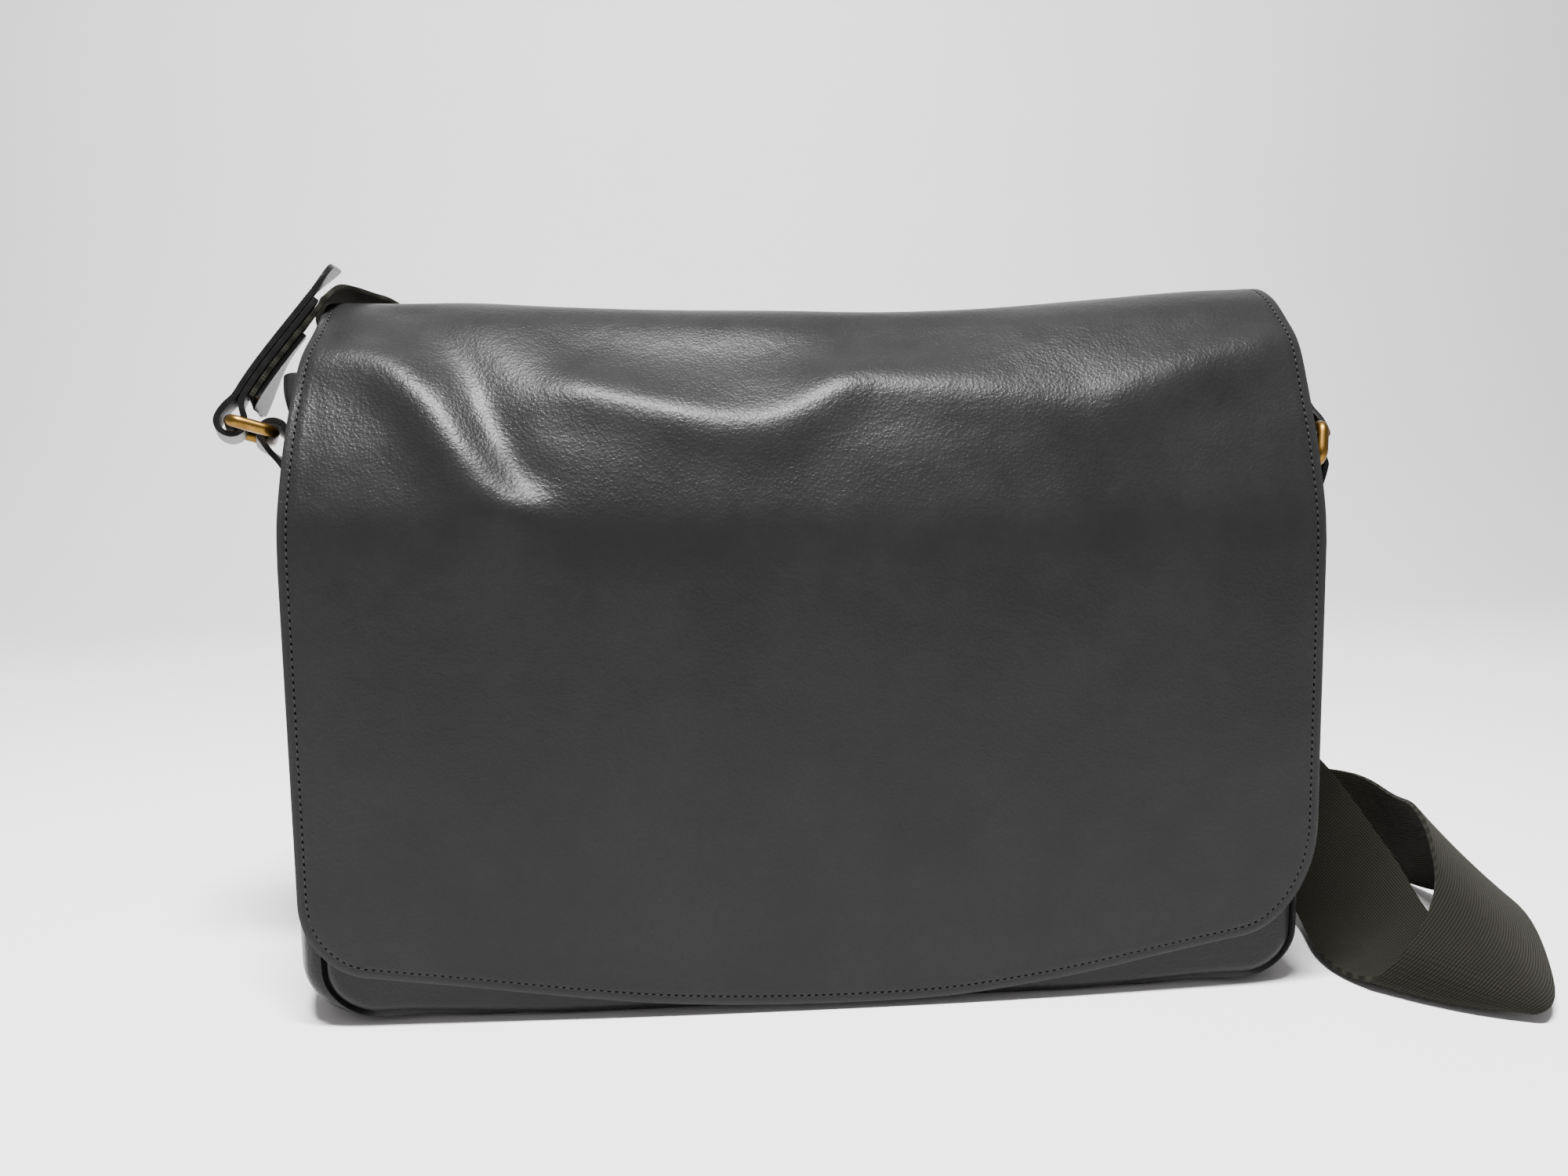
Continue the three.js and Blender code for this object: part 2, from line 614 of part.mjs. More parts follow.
function tabPath() {
  const half = TAB_WIDTH / 2;
  const outer = TAB_PITCH / 2;
  const path = foldedEnd(TAB_REACH, TAB_REACH, half, outer, -outer, TAB_NECK);
  return path.map(([s, offset]) => [s, offset, tipHalf(half, TAB_REACH - s, TIP_RADIUS)]);
}

const bag = new THREE.Group();
bag.name = 'messenger_bag';
bag.add(
  wall('front_panel', panelGrid(frontFace, 252, -1), PANEL_THICKNESS, LEATHER),
  wall('back_panel', panelGrid((x, z) => backY(z), BACK_TOP_Z, 1), PANEL_THICKNESS, LEATHER),
  wall('gusset', gussetGrid(), GUSSET_THICKNESS, LEATHER),
  wall('flap', flapGrid(), FLAP_THICKNESS, LEATHER),
  ringMesh('ring_left', RINGS.left),
  ringMesh('ring_right', RINGS.right),
  strip('ring_tab_left', TAB_LEFT, tabPath(), END_THICKNESS, LEATHER),
  strip('ring_tab_right', TAB_RIGHT, tabPath(), END_THICKNESS, LEATHER),
  strip('strap_end_left', leftEnd, endPath(), END_THICKNESS, LEATHER),
  strip('strap_end_right', rightEnd, endPath(), END_THICKNESS, LEATHER),
  strip('strap_facing_left', leftEnd, facingPath(), FACING_THICKNESS, LEATHER),
  strip('strap_facing_right', rightEnd, facingPath(), FACING_THICKNESS, LEATHER),
  strip('webbing', strapLine, webbingPath(), WEBBING_THICKNESS, WEB, 4),
);

export default bag;
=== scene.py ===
"""Looks of a leather messenger bag, laid out as an add-on around its packed solids."""

import math

import bpy
import numpy as np
from mathutils import Matrix, Vector


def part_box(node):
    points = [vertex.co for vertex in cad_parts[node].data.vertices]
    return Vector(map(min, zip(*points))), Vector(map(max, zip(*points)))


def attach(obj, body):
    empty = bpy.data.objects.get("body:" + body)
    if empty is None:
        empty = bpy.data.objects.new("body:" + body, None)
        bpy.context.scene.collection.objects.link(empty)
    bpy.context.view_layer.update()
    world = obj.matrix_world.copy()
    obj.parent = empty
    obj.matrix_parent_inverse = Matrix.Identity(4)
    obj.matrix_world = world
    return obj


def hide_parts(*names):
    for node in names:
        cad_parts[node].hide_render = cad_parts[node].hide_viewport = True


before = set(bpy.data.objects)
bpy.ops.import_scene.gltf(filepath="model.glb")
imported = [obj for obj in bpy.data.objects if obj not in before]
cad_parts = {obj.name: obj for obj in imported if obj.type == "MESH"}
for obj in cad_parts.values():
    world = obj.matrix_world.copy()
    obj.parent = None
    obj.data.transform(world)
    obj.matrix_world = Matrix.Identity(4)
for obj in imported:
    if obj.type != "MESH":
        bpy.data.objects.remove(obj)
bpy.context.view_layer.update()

bl_info = {
    "name": "Leather Messenger Bag",
    "version": (1, 0, 0),
    "blender": (4, 5, 0),
    "location": "3D View > Sidebar > Bag",
    "description": "Builds the leather, brass and webbing of a messenger bag around its solids",
    "category": "Add Mesh",
}

# Sizes in millimetres. The flap's front comes from its solid.
MM = 0.001
FLAP_FRONT_Y = float(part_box("flap")[0][1]) / MM
FLAP_HALF = 200.0
FLAP_TAIL_SHARE = 0.98
FLAP_LEFT_PRESS = 2.0

PANEL_HALF = 192.0
PANEL_BOTTOM_Z = 3.4
PANEL_RADIUS = 19.0
PANEL_WALL = 2.2
BODY_EDGE = 0.8
FRONT_TOP_Z = 252.0
FRONT_SAG = 10.0
FRONT_SAG_Z = (185, 253)
BACK_TOP_Z = 246.0
BACK_BASE_Y = 57.0
BACK_TOP_Y = 48.0
BACK_LEAN_Z = 20.0

GUSSET_SEAT = 2.32
GUSSET_TOP_Z = 254.0
GUSSET_DIP = 5.0
GUSSET_BACK_DROP = 12.0
GUSSET_BASE_BULGE = 1.08
GUSSET_BULGE = {-1: 14.0, 1: 7.0}
GUSSET_LOW_BULGE = {-1: 3.7, 1: -1.7}
GUSSET_LOW_Z = (60, 140)
GUSSET_EASE = 0.35
GUSSET_EASE_Z = (150, 240)
GUSSET_FLARE = 15.0
GUSSET_FLARE_Z = 222.0
GUSSET_DIP_Z = 215.0
GUSSET_RISE = 2.5

RING_LONG = 64.0
RING_SHORT = 21.0
RING_WIRE = 5.0
RING_CORNER = 4.0

STRAP_WIDTH = 50.0
END_WIDTH = 48.0
END_WALL = 2.25
FACING_WALL = 1.7
LAYER_PITCH = 2.65
LOOP_RADIUS = 5.2
END_NECK = 12.0
END_REACH = 83.0
END_RETURN = 66.0
FACING_START = 10.0
FACING_END = 54.0
FACING_CURL = 2.2
WEBBING_DEPTH = -1.5 * LAYER_PITCH
FACING_DEPTH = WEBBING_DEPTH - 2.18
WEBBING_START = 14.0
TAB_WIDTH = 48.0
TAB_REACH = 52.0
TAB_PITCH = 2.7
TAB_NECK = 24.0
TIP_RADIUS = 10.0
TIP_STEPS = (0, 0.3, 0.6, 1.2, 2, 3, 4, 5.5, 7, 8.5, 10)

# Flap from the break of its front to its back seam:
# station, left setback, left z, right setback, right z, share of the ridge's sag.
FLAP_PROFILE = (
    (0, 0, 180, 0, 182, 0),
    (1, 1.6, 195, 1.4, 194, 0),
    (2, 6.5, 209, 5, 208, 0.1),
    (3, 15, 227, 12, 229, 0.3),
    (4, 28, 247, 24, 255, 0.6),
    (5, 45, 265.5, 37, 271.5, 0.85),
    (6, 63, 279.5, 51, 283, 1),
    (7, 81, 286.5, 68, 288.5, 1),
    (8, 97, 282, 89, 283, 0.8),
    (9, 109, 266, 107, 267, 0.4),
    (10, 114, 246, 113.8, 246, 0.1),
    (11, 114.6, 224, 114.6, 224, 0),
    (12, 115, 202, 115, 202, 0),
)
# Ridge line: x, drop below its corners.
RIDGE_DROP = (
    (-200, 0), (-145, 0.7), (-104, 3.2), (-43, 5.2), (0, 6.4),
    (40, 7.4), (80, 6.4), (121, 3.5), (162, 1.2), (200, 0),
)
# Lower edge of the flap: x, z. Its corners, left and right: start, width, height, lowest z.
HEM_CURVE = (
    (-176, 21.5), (-162, 19.6), (-135, 15.8), (-92, 9.5), (-58, 5.6), (-22, 3.6),
    (14, 3), (52, 4), (89, 8.3), (113, 12.4), (146, 18.9), (168, 23),
)
HEM_CORNERS = {-1: (176.0, 24.0, 28.0, 21.5), 1: (168.0, 32.0, 44.0, 23.0)}
# Folds of the shoulder: breadth, height, and the x and station of each point of the fold's line.
FLAP_FOLDS = (
    (11, 4.0, (-200, 4.6), (-170, 4.5), (-149, 3.6), (-137, 2.7), (-125, 1.9), (-107, 1.2)),
    (11, -3.2, (-166, 6.4), (-152, 5.3), (-135, 4.2), (-124, 3.2), (-115, 2.3), (-105, 1.8)),
    (9, 1.4, (-163, 6.0), (-149, 4.9), (-137, 3.9), (-128, 3.0), (-119, 2.2)),
    (20, -3.4, (-104, 5.5), (-84, 5.1), (-60, 4.85), (-36, 4.7), (-8, 4.9), (12, 5.3)),
    (12, 3.2, (-100, 4.0), (-80, 3.7), (-60, 3.45), (-36, 3.2), (-14, 3.2), (4, 3.6), (16, 4.1)),
    (18, -2.8, (12, 6.0), (30, 5.5), (52, 5.3), (76, 5.6)),
    (13, 2.2, (14, 4.1), (36, 3.9), (64, 3.7), (110, 3.3)),
    (13, 3.4, (112, 3.3), (136, 3.6), (166, 4.0), (198, 4.4)),
)
FOLD_STEP = 2.0
# Front panel: z, y of its outer face.
FRONT_PROFILE = (
    (0, -56.5), (30, -57.2), (110, -57.6), (175, -57),
    (200, -53.5), (222, -44), (240, -32.2), (253, -22),
)
# Rings: centre, long axis, short axis.
RINGS = {
    "left": ((-230.8, 6, 232.3), (-0.345, 0.938, -0.04), (-0.93, -0.33, 0.3)),
    "right": ((218.2, 7, 211.5), (-0.03, 0.94, -0.34), (0.2, 0.34, 0.92)),
}
# Free tip of each strap end: point, direction across, turn of the ring's long axis,
# then the tip's own bend and twist.
STRAP_TIPS = {
    "left": ((-198.4, 29.4, 305.1), (-0.28, 0.947, 0.158), 1, (2.2, 0, -0.6), (0.12, 0, -0.06)),
    "right": ((208.5, 64.3, 270.2), (0.02, -0.66, 0.75), -1, (0, 0, 0), (0, 0, 0)),
}
END_SHARES = (0, 0.08, 0.18, 0.32, 0.48, 0.64, 0.76, 0.81, 1)
END_CAMBER = 3.6
# Free run of the strap: x, y, z, direction across, bow.
STRAP_RUN = (
    (-203.7, 33.5, 293.0, -0.42, 0.9, 0.03, 0),
    (-202.7, 40.3, 291.8, -0.58, 0.81, -0.02, 0),
    (-201.7, 45.5, 290.1, -0.7, 0.71, -0.05, 0),
    (-199.8, 53.0, 286.9, -0.8, 0.55, -0.14, 0),
    (-194.5, 59.5, 277.5, -0.86, 0.35, -0.3, 0),
    (-184.5, 65.0, 257.8, -0.84, 0.18, -0.5, 0),
    (-160.0, 74.0, 226.0, -0.76, 0.1, -0.64, 0),
    (-118.0, 82.0, 190.0, -0.64, 0.08, -0.76, 0),
    (-60.0, 90.0, 156.0, -0.56, 0.06, -0.82, 0),
    (25.0, 96.0, 116.0, -0.52, 0.02, -0.85, 0),
    (120.0, 100.0, 64.0, -0.42, 0.02, -0.9, 0),
    (205.0, 102.0, 35.0, -0.2, 0.04, -0.98, 0),
    (265.0, 98.0, 26.2, -0.04, 0.08, -1.0, 0),
    (295.0, 74.5, 25.6, 0.12, 0.02, -0.99, 0),
    (300.0, 33.0, 26.6, 0.37, -0.11, -0.92, 0),
    (294.0, -6.0, 36.2, 0.66, -0.08, -0.75, 0),
    (285.0, -38.0, 33.0, 0.78, -0.13, -0.61, 0),
    (269.0, -70.0, 23.0, 0.73, -0.4, -0.56, 2),
    (251.0, -87.5, 13.0, 0.81, -0.48, -0.3, 4),
    (242.0, -81.0, 4.9, 0.84, -0.54, -0.02, 3),
    (239.0, -42.0, 10.8, 0.96, -0.09, 0.26, 2),
    (246.0, 1.0, 21.5, 0.81, -0.12, 0.58, 0),
    (235.0, 34.0, 51.0, 0.81, -0.08, 0.58, 0),
    (216.0, 72.0, 80.0, 0.87, -0.1, 0.48, 0),
    (202.0, 103.0, 118.0, 0.95, -0.1, 0.27, 0),
    (193.0, 121.0, 164.0, 0.98, -0.05, 0.1, 0),
    (189.0, 124.0, 212.0, 0.98, 0.15, 0.05, 0),
    (192.0, 114.0, 250.0, 0.9, 0.42, 0.0, 0),
    (197.0, 92.8, 271.8, 0.75, 0.0, -0.66, 0),
    (202.4, 71.8, 271.3, 0.1, 0.53, -0.84, 0),
)
# Ring tabs below the ring's bar: x, y, z, direction across, bow.
TAB_RUNS = {
    "left": (
        (-215.0, 8.0, 219.5, -0.22, 0.97, 0, 0),
        (-209.2, 7.0, 208.0, -0.08, 0.99, 0, 0),
        (-209.9, 6.5, 194.0, 0, 1, 0, 0),
        (-211.0, 6.0, 180.0, 0, 1, 0, 0),
    ),
    "right": (
        (213.0, 1.5, 193.0, -0.02, 0.95, -0.3, 0),
        (207.0, -0.5, 181.0, 0, 0.97, -0.24, 0),
        (204.9, -2.0, 168.0, 0, 0.98, -0.18, 0),
        (205.0, -3.5, 154.0, 0, 0.99, -0.14, 0),
    ),
}

# Camera of the picture: place in millimetres, angles in degrees, lens in pixels of a 2000-pixel width.
CAMERA_AT = (-43.4, -505.8, 213.3)
CAMERA_YAW = -3.91
CAMERA_PITCH = 5.79
CAMERA_ROLL = -0.89
CAMERA_FOCAL = 1502.0
IMAGE_WIDTH = 2000.0
SENSOR_WIDTH = 36.0


# Settings

COLOUR = {"subtype": "COLOR", "size": 3, "min": 0, "max": 1}
LENGTH = {"unit": "LENGTH", "precision": 5}
SHARE = {"subtype": "FACTOR", "min": 0}


class LeatherLook(bpy.types.PropertyGroup):
    """Finish of the leather"""

    colour: bpy.props.FloatVectorProperty(
        name="Colour", description="Base colour of the leather", default=(0.0105, 0.0105, 0.0106), **COLOUR
    )
    roughness: bpy.props.FloatProperty(
        name="Roughness", description="Mean roughness of the finish", default=0.32, max=1, **SHARE
    )
    grain_size: bpy.props.FloatProperty(
        name="Grain size", description="Width of one pebble of the grain", default=0.0011, **LENGTH
    )
    grain_depth: bpy.props.FloatProperty(
        name="Grain depth", description="Depth of the creases between pebbles", default=0.0001, **LENGTH
    )


class FlapShape(bpy.types.PropertyGroup):
    """Wall and edge of the flap"""

    wall: bpy.props.FloatProperty(name="Wall", description="Thickness of the flap", default=0.0026, **LENGTH)
    stitch_inset: bpy.props.FloatProperty(
        name="Stitch inset", description="Distance of the stitches from the edge", default=0.0034, **LENGTH
    )
    stitch_pitch: bpy.props.FloatProperty(
        name="Stitch pitch", description="Distance from one stitch to the next", default=0.0029, **LENGTH
    )
    fold_strength: bpy.props.FloatProperty(
        name="Fold strength", description="Height of the folds, 1 as drawn", default=1.0, max=2, **SHARE
    )


class StrapLook(bpy.types.PropertyGroup):
    """Webbing of the strap"""

    wall: bpy.props.FloatProperty(
        name="Wall", description="Thickness of the webbing", default=0.0019, **LENGTH
    )
    rib_pitch: bpy.props.FloatProperty(
        name="Rib pitch", description="Distance from one rib to the next", default=0.0011, **LENGTH
    )
    # Painted shade: the colour of the grooves between the ribs stands for the shade that falls in them.
    shade: bpy.props.FloatVectorProperty(
        name="Shade", description="Colour between the ribs", default=(0.0023, 0.0023, 0.0015), **COLOUR
    )
    # Painted light: the colour on the ribs stands for their lit tops.
    light: bpy.props.FloatVectorProperty(
        name="Light", description="Colour on the ribs", default=(0.0125, 0.012, 0.0082), **COLOUR
    )


class BrassLook(bpy.types.PropertyGroup):
    """Finish of the rings"""

    colour: bpy.props.FloatVectorProperty(
        name="Colour", description="Colour of the clean metal", default=(0.19, 0.11, 0.026), **COLOUR
    )
    tarnish: bpy.props.FloatVectorProperty(
        name="Tarnish", description="Colour of the dull patches", default=(0.11, 0.06, 0.013), **COLOUR
    )


class StageLook(bpy.types.PropertyGroup):
    """Floor and light"""

    floor: bpy.props.FloatVectorProperty(
        name="Floor", description="Colour of the floor and the sweep", default=(0.78, 0.765, 0.77), **COLOUR
    )
    key_power: bpy.props.FloatProperty(
        name="Key", description="Power of the overhead light", default=150.0, unit="POWER"
    )
    back_power: bpy.props.FloatProperty(
        name="Back", description="Power of the weak light from behind", default=4.5, unit="POWER"
    )
    wall_power: bpy.props.FloatProperty(
        name="Wall", description="Power of the broad light on the sweep", default=45.0, unit="POWER"
    )
    sky: bpy.props.FloatProperty(
        name="Sky", description="Strength of the even light from all round", default=0.45, min=0
    )


# Shape helpers


def unit(vectors):
    return vectors / np.linalg.norm(vectors, axis=-1, keepdims=True)


def smooth(low, high, value):
    share = np.clip((value - low) / (high - low), 0, 1)
    return share * share * (3 - 2 * share)


def mix(first, second, share):
    return first + (second - first) * share


def curve_through(rows, station):
    """Smooth curve through a table whose first column is the station."""
    table = np.asarray(rows, float)
    at, values = table[:, 0], table[:, 1:]
    station = np.asarray(station, float)
    last = len(at) - 1
    k = np.clip(np.searchsorted(at, station, side="left") - 1, 0, last - 1)
    before, after = np.maximum(k - 1, 0), np.minimum(k + 2, last)
    span = (at[k + 1] - at[k])[..., None]
    t = np.clip((station - at[k])[..., None] / span, 0, 1)
    slope_in = (values[k + 1] - values[before]) / (at[k + 1] - at[before])[..., None]
    slope_out = (values[after] - values[k]) / (at[after] - at[k])[..., None]
    start = (2 * t**3 - 3 * t**2 + 1) * values[k] + (t**3 - 2 * t**2 + t) * slope_in * span
    return start + (3 * t**2 - 2 * t**3) * values[k + 1] + (t**3 - t**2) * slope_out * span


def run_along(path):
    """Length along a polyline up to each of its points."""
    steps = np.linalg.norm(np.diff(path, axis=0), axis=1)
    return np.concatenate([[0], np.cumsum(steps)])


def even_steps(path, pitch):
    """Fractional indices of points at an even pitch along a polyline."""
    run = run_along(path)
    count = max(2, int(round(run[-1] / pitch)))
    wanted = (np.arange(count) + 0.5) * run[-1] / count
    return np.interp(wanted, run, np.arange(len(path)))


def rows_at(values, share):
    """Rows of an array at fractional indices."""
    low = np.clip(np.floor(share).astype(int), 0, len(values) - 2)
    part = (share - low)[:, None]
    return values[low] * (1 - part) + values[low + 1] * part


def ripple(x, y, wavelength, seed):
    """Gentle unevenness from a few crossed waves, about -1 to 1."""
    turn = np.random.default_rng(seed).uniform(0, 2 * math.pi, (5, 2))
    total = 0.0
    for k, (heading, phase) in enumerate(turn):
        pull = 2 * math.pi / (wavelength * (0.7 + 0.17 * k))
        total = total + np.sin(pull * (x * math.cos(heading) + y * math.sin(heading)) + phase)
    return total / 3


def deselect():
    if bpy.context.mode != "OBJECT":
        bpy.ops.object.mode_set(mode="OBJECT")
    bpy.ops.object.select_all(action="DESELECT")


def hold(piece):
    deselect()
    piece.select_set(True)
    bpy.context.view_layer.objects.active = piece


def grid_normals(points):
    """Outward direction at each point of a grid of rows and columns."""
    across = np.gradient(points, axis=1)
    along = np.gradient(points, axis=0)
    return unit(np.cross(across, along))


def laid_sheet(name, points, uv=None, marks=None):
    """Flat grid whose points are drawn to points[row, column], in millimetres."""
    rows, columns = points.shape[:2]
    deselect()
    bpy.ops.mesh.primitive_grid_add(x_subdivisions=columns - 1, y_subdivisions=rows - 1, size=1)
    piece = bpy.context.active_object
    piece.name = piece.data.name = name
    mesh = piece.data
    flat = np.empty(len(mesh.vertices) * 3)
    mesh.vertices.foreach_get("co", flat)
    flat = flat.reshape(-1, 3)
    i = np.rint((flat[:, 0] + 0.5) * (columns - 1)).astype(int)
    j = np.rint((flat[:, 1] + 0.5) * (rows - 1)).astype(int)
    mesh.vertices.foreach_set("co", (points[j, i] * MM).ravel())
    if uv is not None:
        corner = np.empty(len(mesh.loops), int)
        mesh.loops.foreach_get("vertex_index", corner)
        mesh.uv_layers[0].data.foreach_set("uv", (uv[j, i][corner] * MM).ravel())
    for label, values in (marks or {}).items():
        mark = mesh.attributes.new(label, "FLOAT", "POINT")
        mark.data.foreach_set("value", np.ascontiguousarray(values[j, i], np.float32))
    mesh.update()
    return piece


def apply_modifier(piece, kind, **settings):
    hold(piece)
    bpy.ops.object.modifier_add(type=kind)
    modifier = piece.modifiers[-1]
    for key, value in settings.items():
        setattr(modifier, key, value)
    bpy.ops.object.modifier_apply(modifier=modifier.name)


def dress(piece, *materials):
    piece.data.materials.clear()
    for material in materials:
        piece.data.materials.append(material)


def thicken(piece, wall, materials, offset=-1.0, edge=BODY_EDGE):
    """Wall of even thickness with round edges. Sizes in millimetres; a second material goes on the rim."""
    dress(piece, *materials)
    apply_modifier(
        piece,
        "SOLIDIFY",
        thickness=wall * MM,
        offset=offset,
        use_even_offset=False,
        use_quality_normals=True,
        material_offset_rim=len(materials) - 1,
    )
    bend = math.radians(50)
    apply_modifier(piece, "BEVEL", width=edge * MM, segments=3, limit_method="ANGLE", angle_limit=bend)
    hold(piece)
    bpy.ops.object.shade_smooth()
    return piece


def finish_piece(piece, slot, *nodes):
    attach(piece, "root")
    if nodes:
        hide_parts(*nodes)
    return piece


def leather_wall(name, points, wall, materials, offset=-1.0, edge=BODY_EDGE, marks=None):
    """Leather piece on a grid of points, in place of the node of that name."""
    piece = laid_sheet(f"{name}_leather", points, marks=marks)
    thicken(piece, wall, materials, offset, edge)
    return finish_piece(piece, "leather", name)


# Material helpers


def node(tree, kind, sockets=None, **settings):
    """Adds a node, sets what is given, and links the sockets that are outputs."""
    made = tree.nodes.new(kind)
    for key, value in settings.items():
        setattr(made, key, value)
    for key, value in (sockets or {}).items():
        if isinstance(value, bpy.types.NodeSocket):
            tree.links.new(value, made.inputs[key])
        else:
            made.inputs[key].default_value = value
    return made


def math_node(tree, operation, first, second=0.0):
    return node(tree, "ShaderNodeMath", {0: first, 1: second}, operation=operation).outputs[0]


def ramp_node(tree, value, low, high, out_low=0.0, out_high=1.0):
    sockets = {"Value": value, "From Min": low, "From Max": high, "To Min": out_low, "To Max": out_high}
    return node(tree, "ShaderNodeMapRange", sockets, interpolation_type="SMOOTHSTEP").outputs[0]


def vector_node(tree, operation, sockets):
    return node(tree, "ShaderNodeVectorMath", sockets, operation=operation).outputs[0]


def noise_node(tree, place, scale, detail, **more):
    sockets = {"Vector": place, "Scale": scale, "Detail": detail, **more}
    return node(tree, "ShaderNodeTexNoise", sockets).outputs


def bump_node(tree, height, distance, strength, **more):
    sockets = {"Height": height, "Distance": distance, "Strength": strength, **more}
    return node(tree, "ShaderNodeBump", sockets).outputs[0]


def mix_colour(tree, share, first, second):
    return node(tree, "ShaderNodeMix", {0: share, 6: first, 7: second}, data_type="RGBA").outputs[2]


def tinted(colour, share=1.0):
    """Colour scaled by a share, with full alpha."""
    return (*[channel * share for channel in colour], 1)


def grey(value):
    return tinted((1, 1, 1), value)


def shared_group(name, control, outputs, fill):
    """Node group made the first time it is asked for: a place and one control in, values out."""
    tree = bpy.data.node_groups.get(name)
    if tree:
        return tree
    tree = bpy.data.node_groups.new(name, "ShaderNodeTree")
    tree.interface.new_socket("Vector", in_out="INPUT", socket_type="NodeSocketVector")
    tree.interface.new_socket(control, in_out="INPUT", socket_type="NodeSocketFloat")
    for label in outputs:
        tree.interface.new_socket(label, in_out="OUTPUT", socket_type="NodeSocketFloat")
    given = node(tree, "NodeGroupInput").outputs
    values = fill(tree, given["Vector"], given[control])
    node(tree, "NodeGroupOutput", dict(zip(outputs, values)))
    return tree


def pebble_values(tree, place, count):
    """Irregular pebbles in two sizes with creases between them: height, crease."""
    cells = vector_node(tree, "SCALE", {0: place, "Scale": count})
    warp = noise_node(tree, cells, 0.8, 2.0)["Color"]
    centred = vector_node(tree, "SUBTRACT", {0: warp, 1: (0.5, 0.5, 0.5)})
    drawn = vector_node(tree, "SCALE", {0: centred, "Scale": 1.3})
    moved = vector_node(tree, "ADD", {0: cells, 1: drawn})
    domes = []
    for scale in (0.8, 1.8):
        sockets = {"Vector": moved, "Scale": scale, "Smoothness": 0.35}
        cell = node(tree, "ShaderNodeTexVoronoi", sockets, feature="SMOOTH_F1").outputs["Distance"]
        domes.append(ramp_node(tree, cell, 0.75, 0.05))
    broad, small = domes
    pores = noise_node(tree, moved, 3.0, 2.0)["Fac"]
    shares = ((broad, 0.6), (small, 0.25), (pores, 0.15))
    high, low, specks = (math_node(tree, "MULTIPLY", value, share) for value, share in shares)
    height = math_node(tree, "ADD", math_node(tree, "ADD", high, low), specks)
    return height, math_node(tree, "SUBTRACT", 1.0, broad)


def cloud_values(tree, place, clouds):
    """Slow cloudy change of tone."""
    cloud = noise_node(tree, place, clouds, 4.0, Roughness=0.6)["Fac"]
    return (ramp_node(tree, cloud, 0.3, 0.7),)


def pebble_grain(tree, place, cells):
    group = shared_group("Pebble grain", "Cells", ("Height", "Crease"), pebble_values)
    return node(tree, "ShaderNodeGroup", {"Vector": place, "Cells": cells}, node_tree=group).outputs


def mottle(tree, place, clouds):
    group = shared_group("Mottle", "Clouds", ("Tone",), cloud_values)
    return node(tree, "ShaderNodeGroup", {"Vector": place, "Clouds": clouds}, node_tree=group).outputs["Tone"]


def material_of(name, fill, *settings):
    """Material made the first time it is asked for. Fill gives the values of its shader's sockets."""
    found = bpy.data.materials.get(name)
    if found:
        return found
    made = bpy.data.materials.new(name)
    made.use_nodes = True
    tree = made.node_tree
    tree.nodes.clear()
    place = node(tree, "ShaderNodeTexCoord").outputs["Object"]
    shader = node(tree, "ShaderNodeBsdfPrincipled", fill(tree, place, *settings))
    node(tree, "ShaderNodeOutputMaterial", {"Surface": shader.outputs[0]})
    return made


# Materials


def leather_sockets(tree, place, look, edge_mark):
    """Finished leather: pebble grain, soft wrinkles, cloudy tone, painted shade in the creases between
    pebbles, and a painted highlight along the edges where marked.
    """
    pebbles = pebble_grain(tree, place, 1.0 / look.grain_size)
    clouds = mottle(tree, place, 24.0)
    # The share 1.6 gives the lighter colour of the painted highlight along the rim.
    dark, light, painted_rim_highlight = (tinted(look.colour, share) for share in (0.82, 1.15, 1.6))
    tone = mix_colour(tree, clouds, dark, light)
    # Painted shade: the creases between the pebbles are mixed halfway towards the dark tone.
    colour = mix_colour(tree, math_node(tree, "MULTIPLY", pebbles["Crease"], 0.5), tone, dark)
    # Painted highlight: the colour is lightened within about 2.6 mm of the marked edge, where the rim catches
    # light.
    if edge_mark:
        rim = node(tree, "ShaderNodeAttribute", attribute_name="edge_mm").outputs["Fac"]
        colour = mix_colour(tree, ramp_node(tree, rim, 2.6, 0.2, 0.0, 0.55), colour, painted_rim_highlight)
    dull = ramp_node(tree, clouds, 0.0, 1.0, look.roughness - 0.02, look.roughness + 0.03)
    wrinkle = noise_node(tree, place, 95.0, 3.0, Distortion=0.6)["Fac"]
    soft = bump_node(tree, wrinkle, 0.0007, 0.35)
    return {
        "Base Color": colour,
        "Roughness": math_node(tree, "ADD", dull, math_node(tree, "MULTIPLY", pebbles["Crease"], 0.04)),
        "Normal": bump_node(tree, pebbles["Height"], look.grain_depth, 1.0, Normal=soft),
        "Specular IOR Level": 0.12,
    }


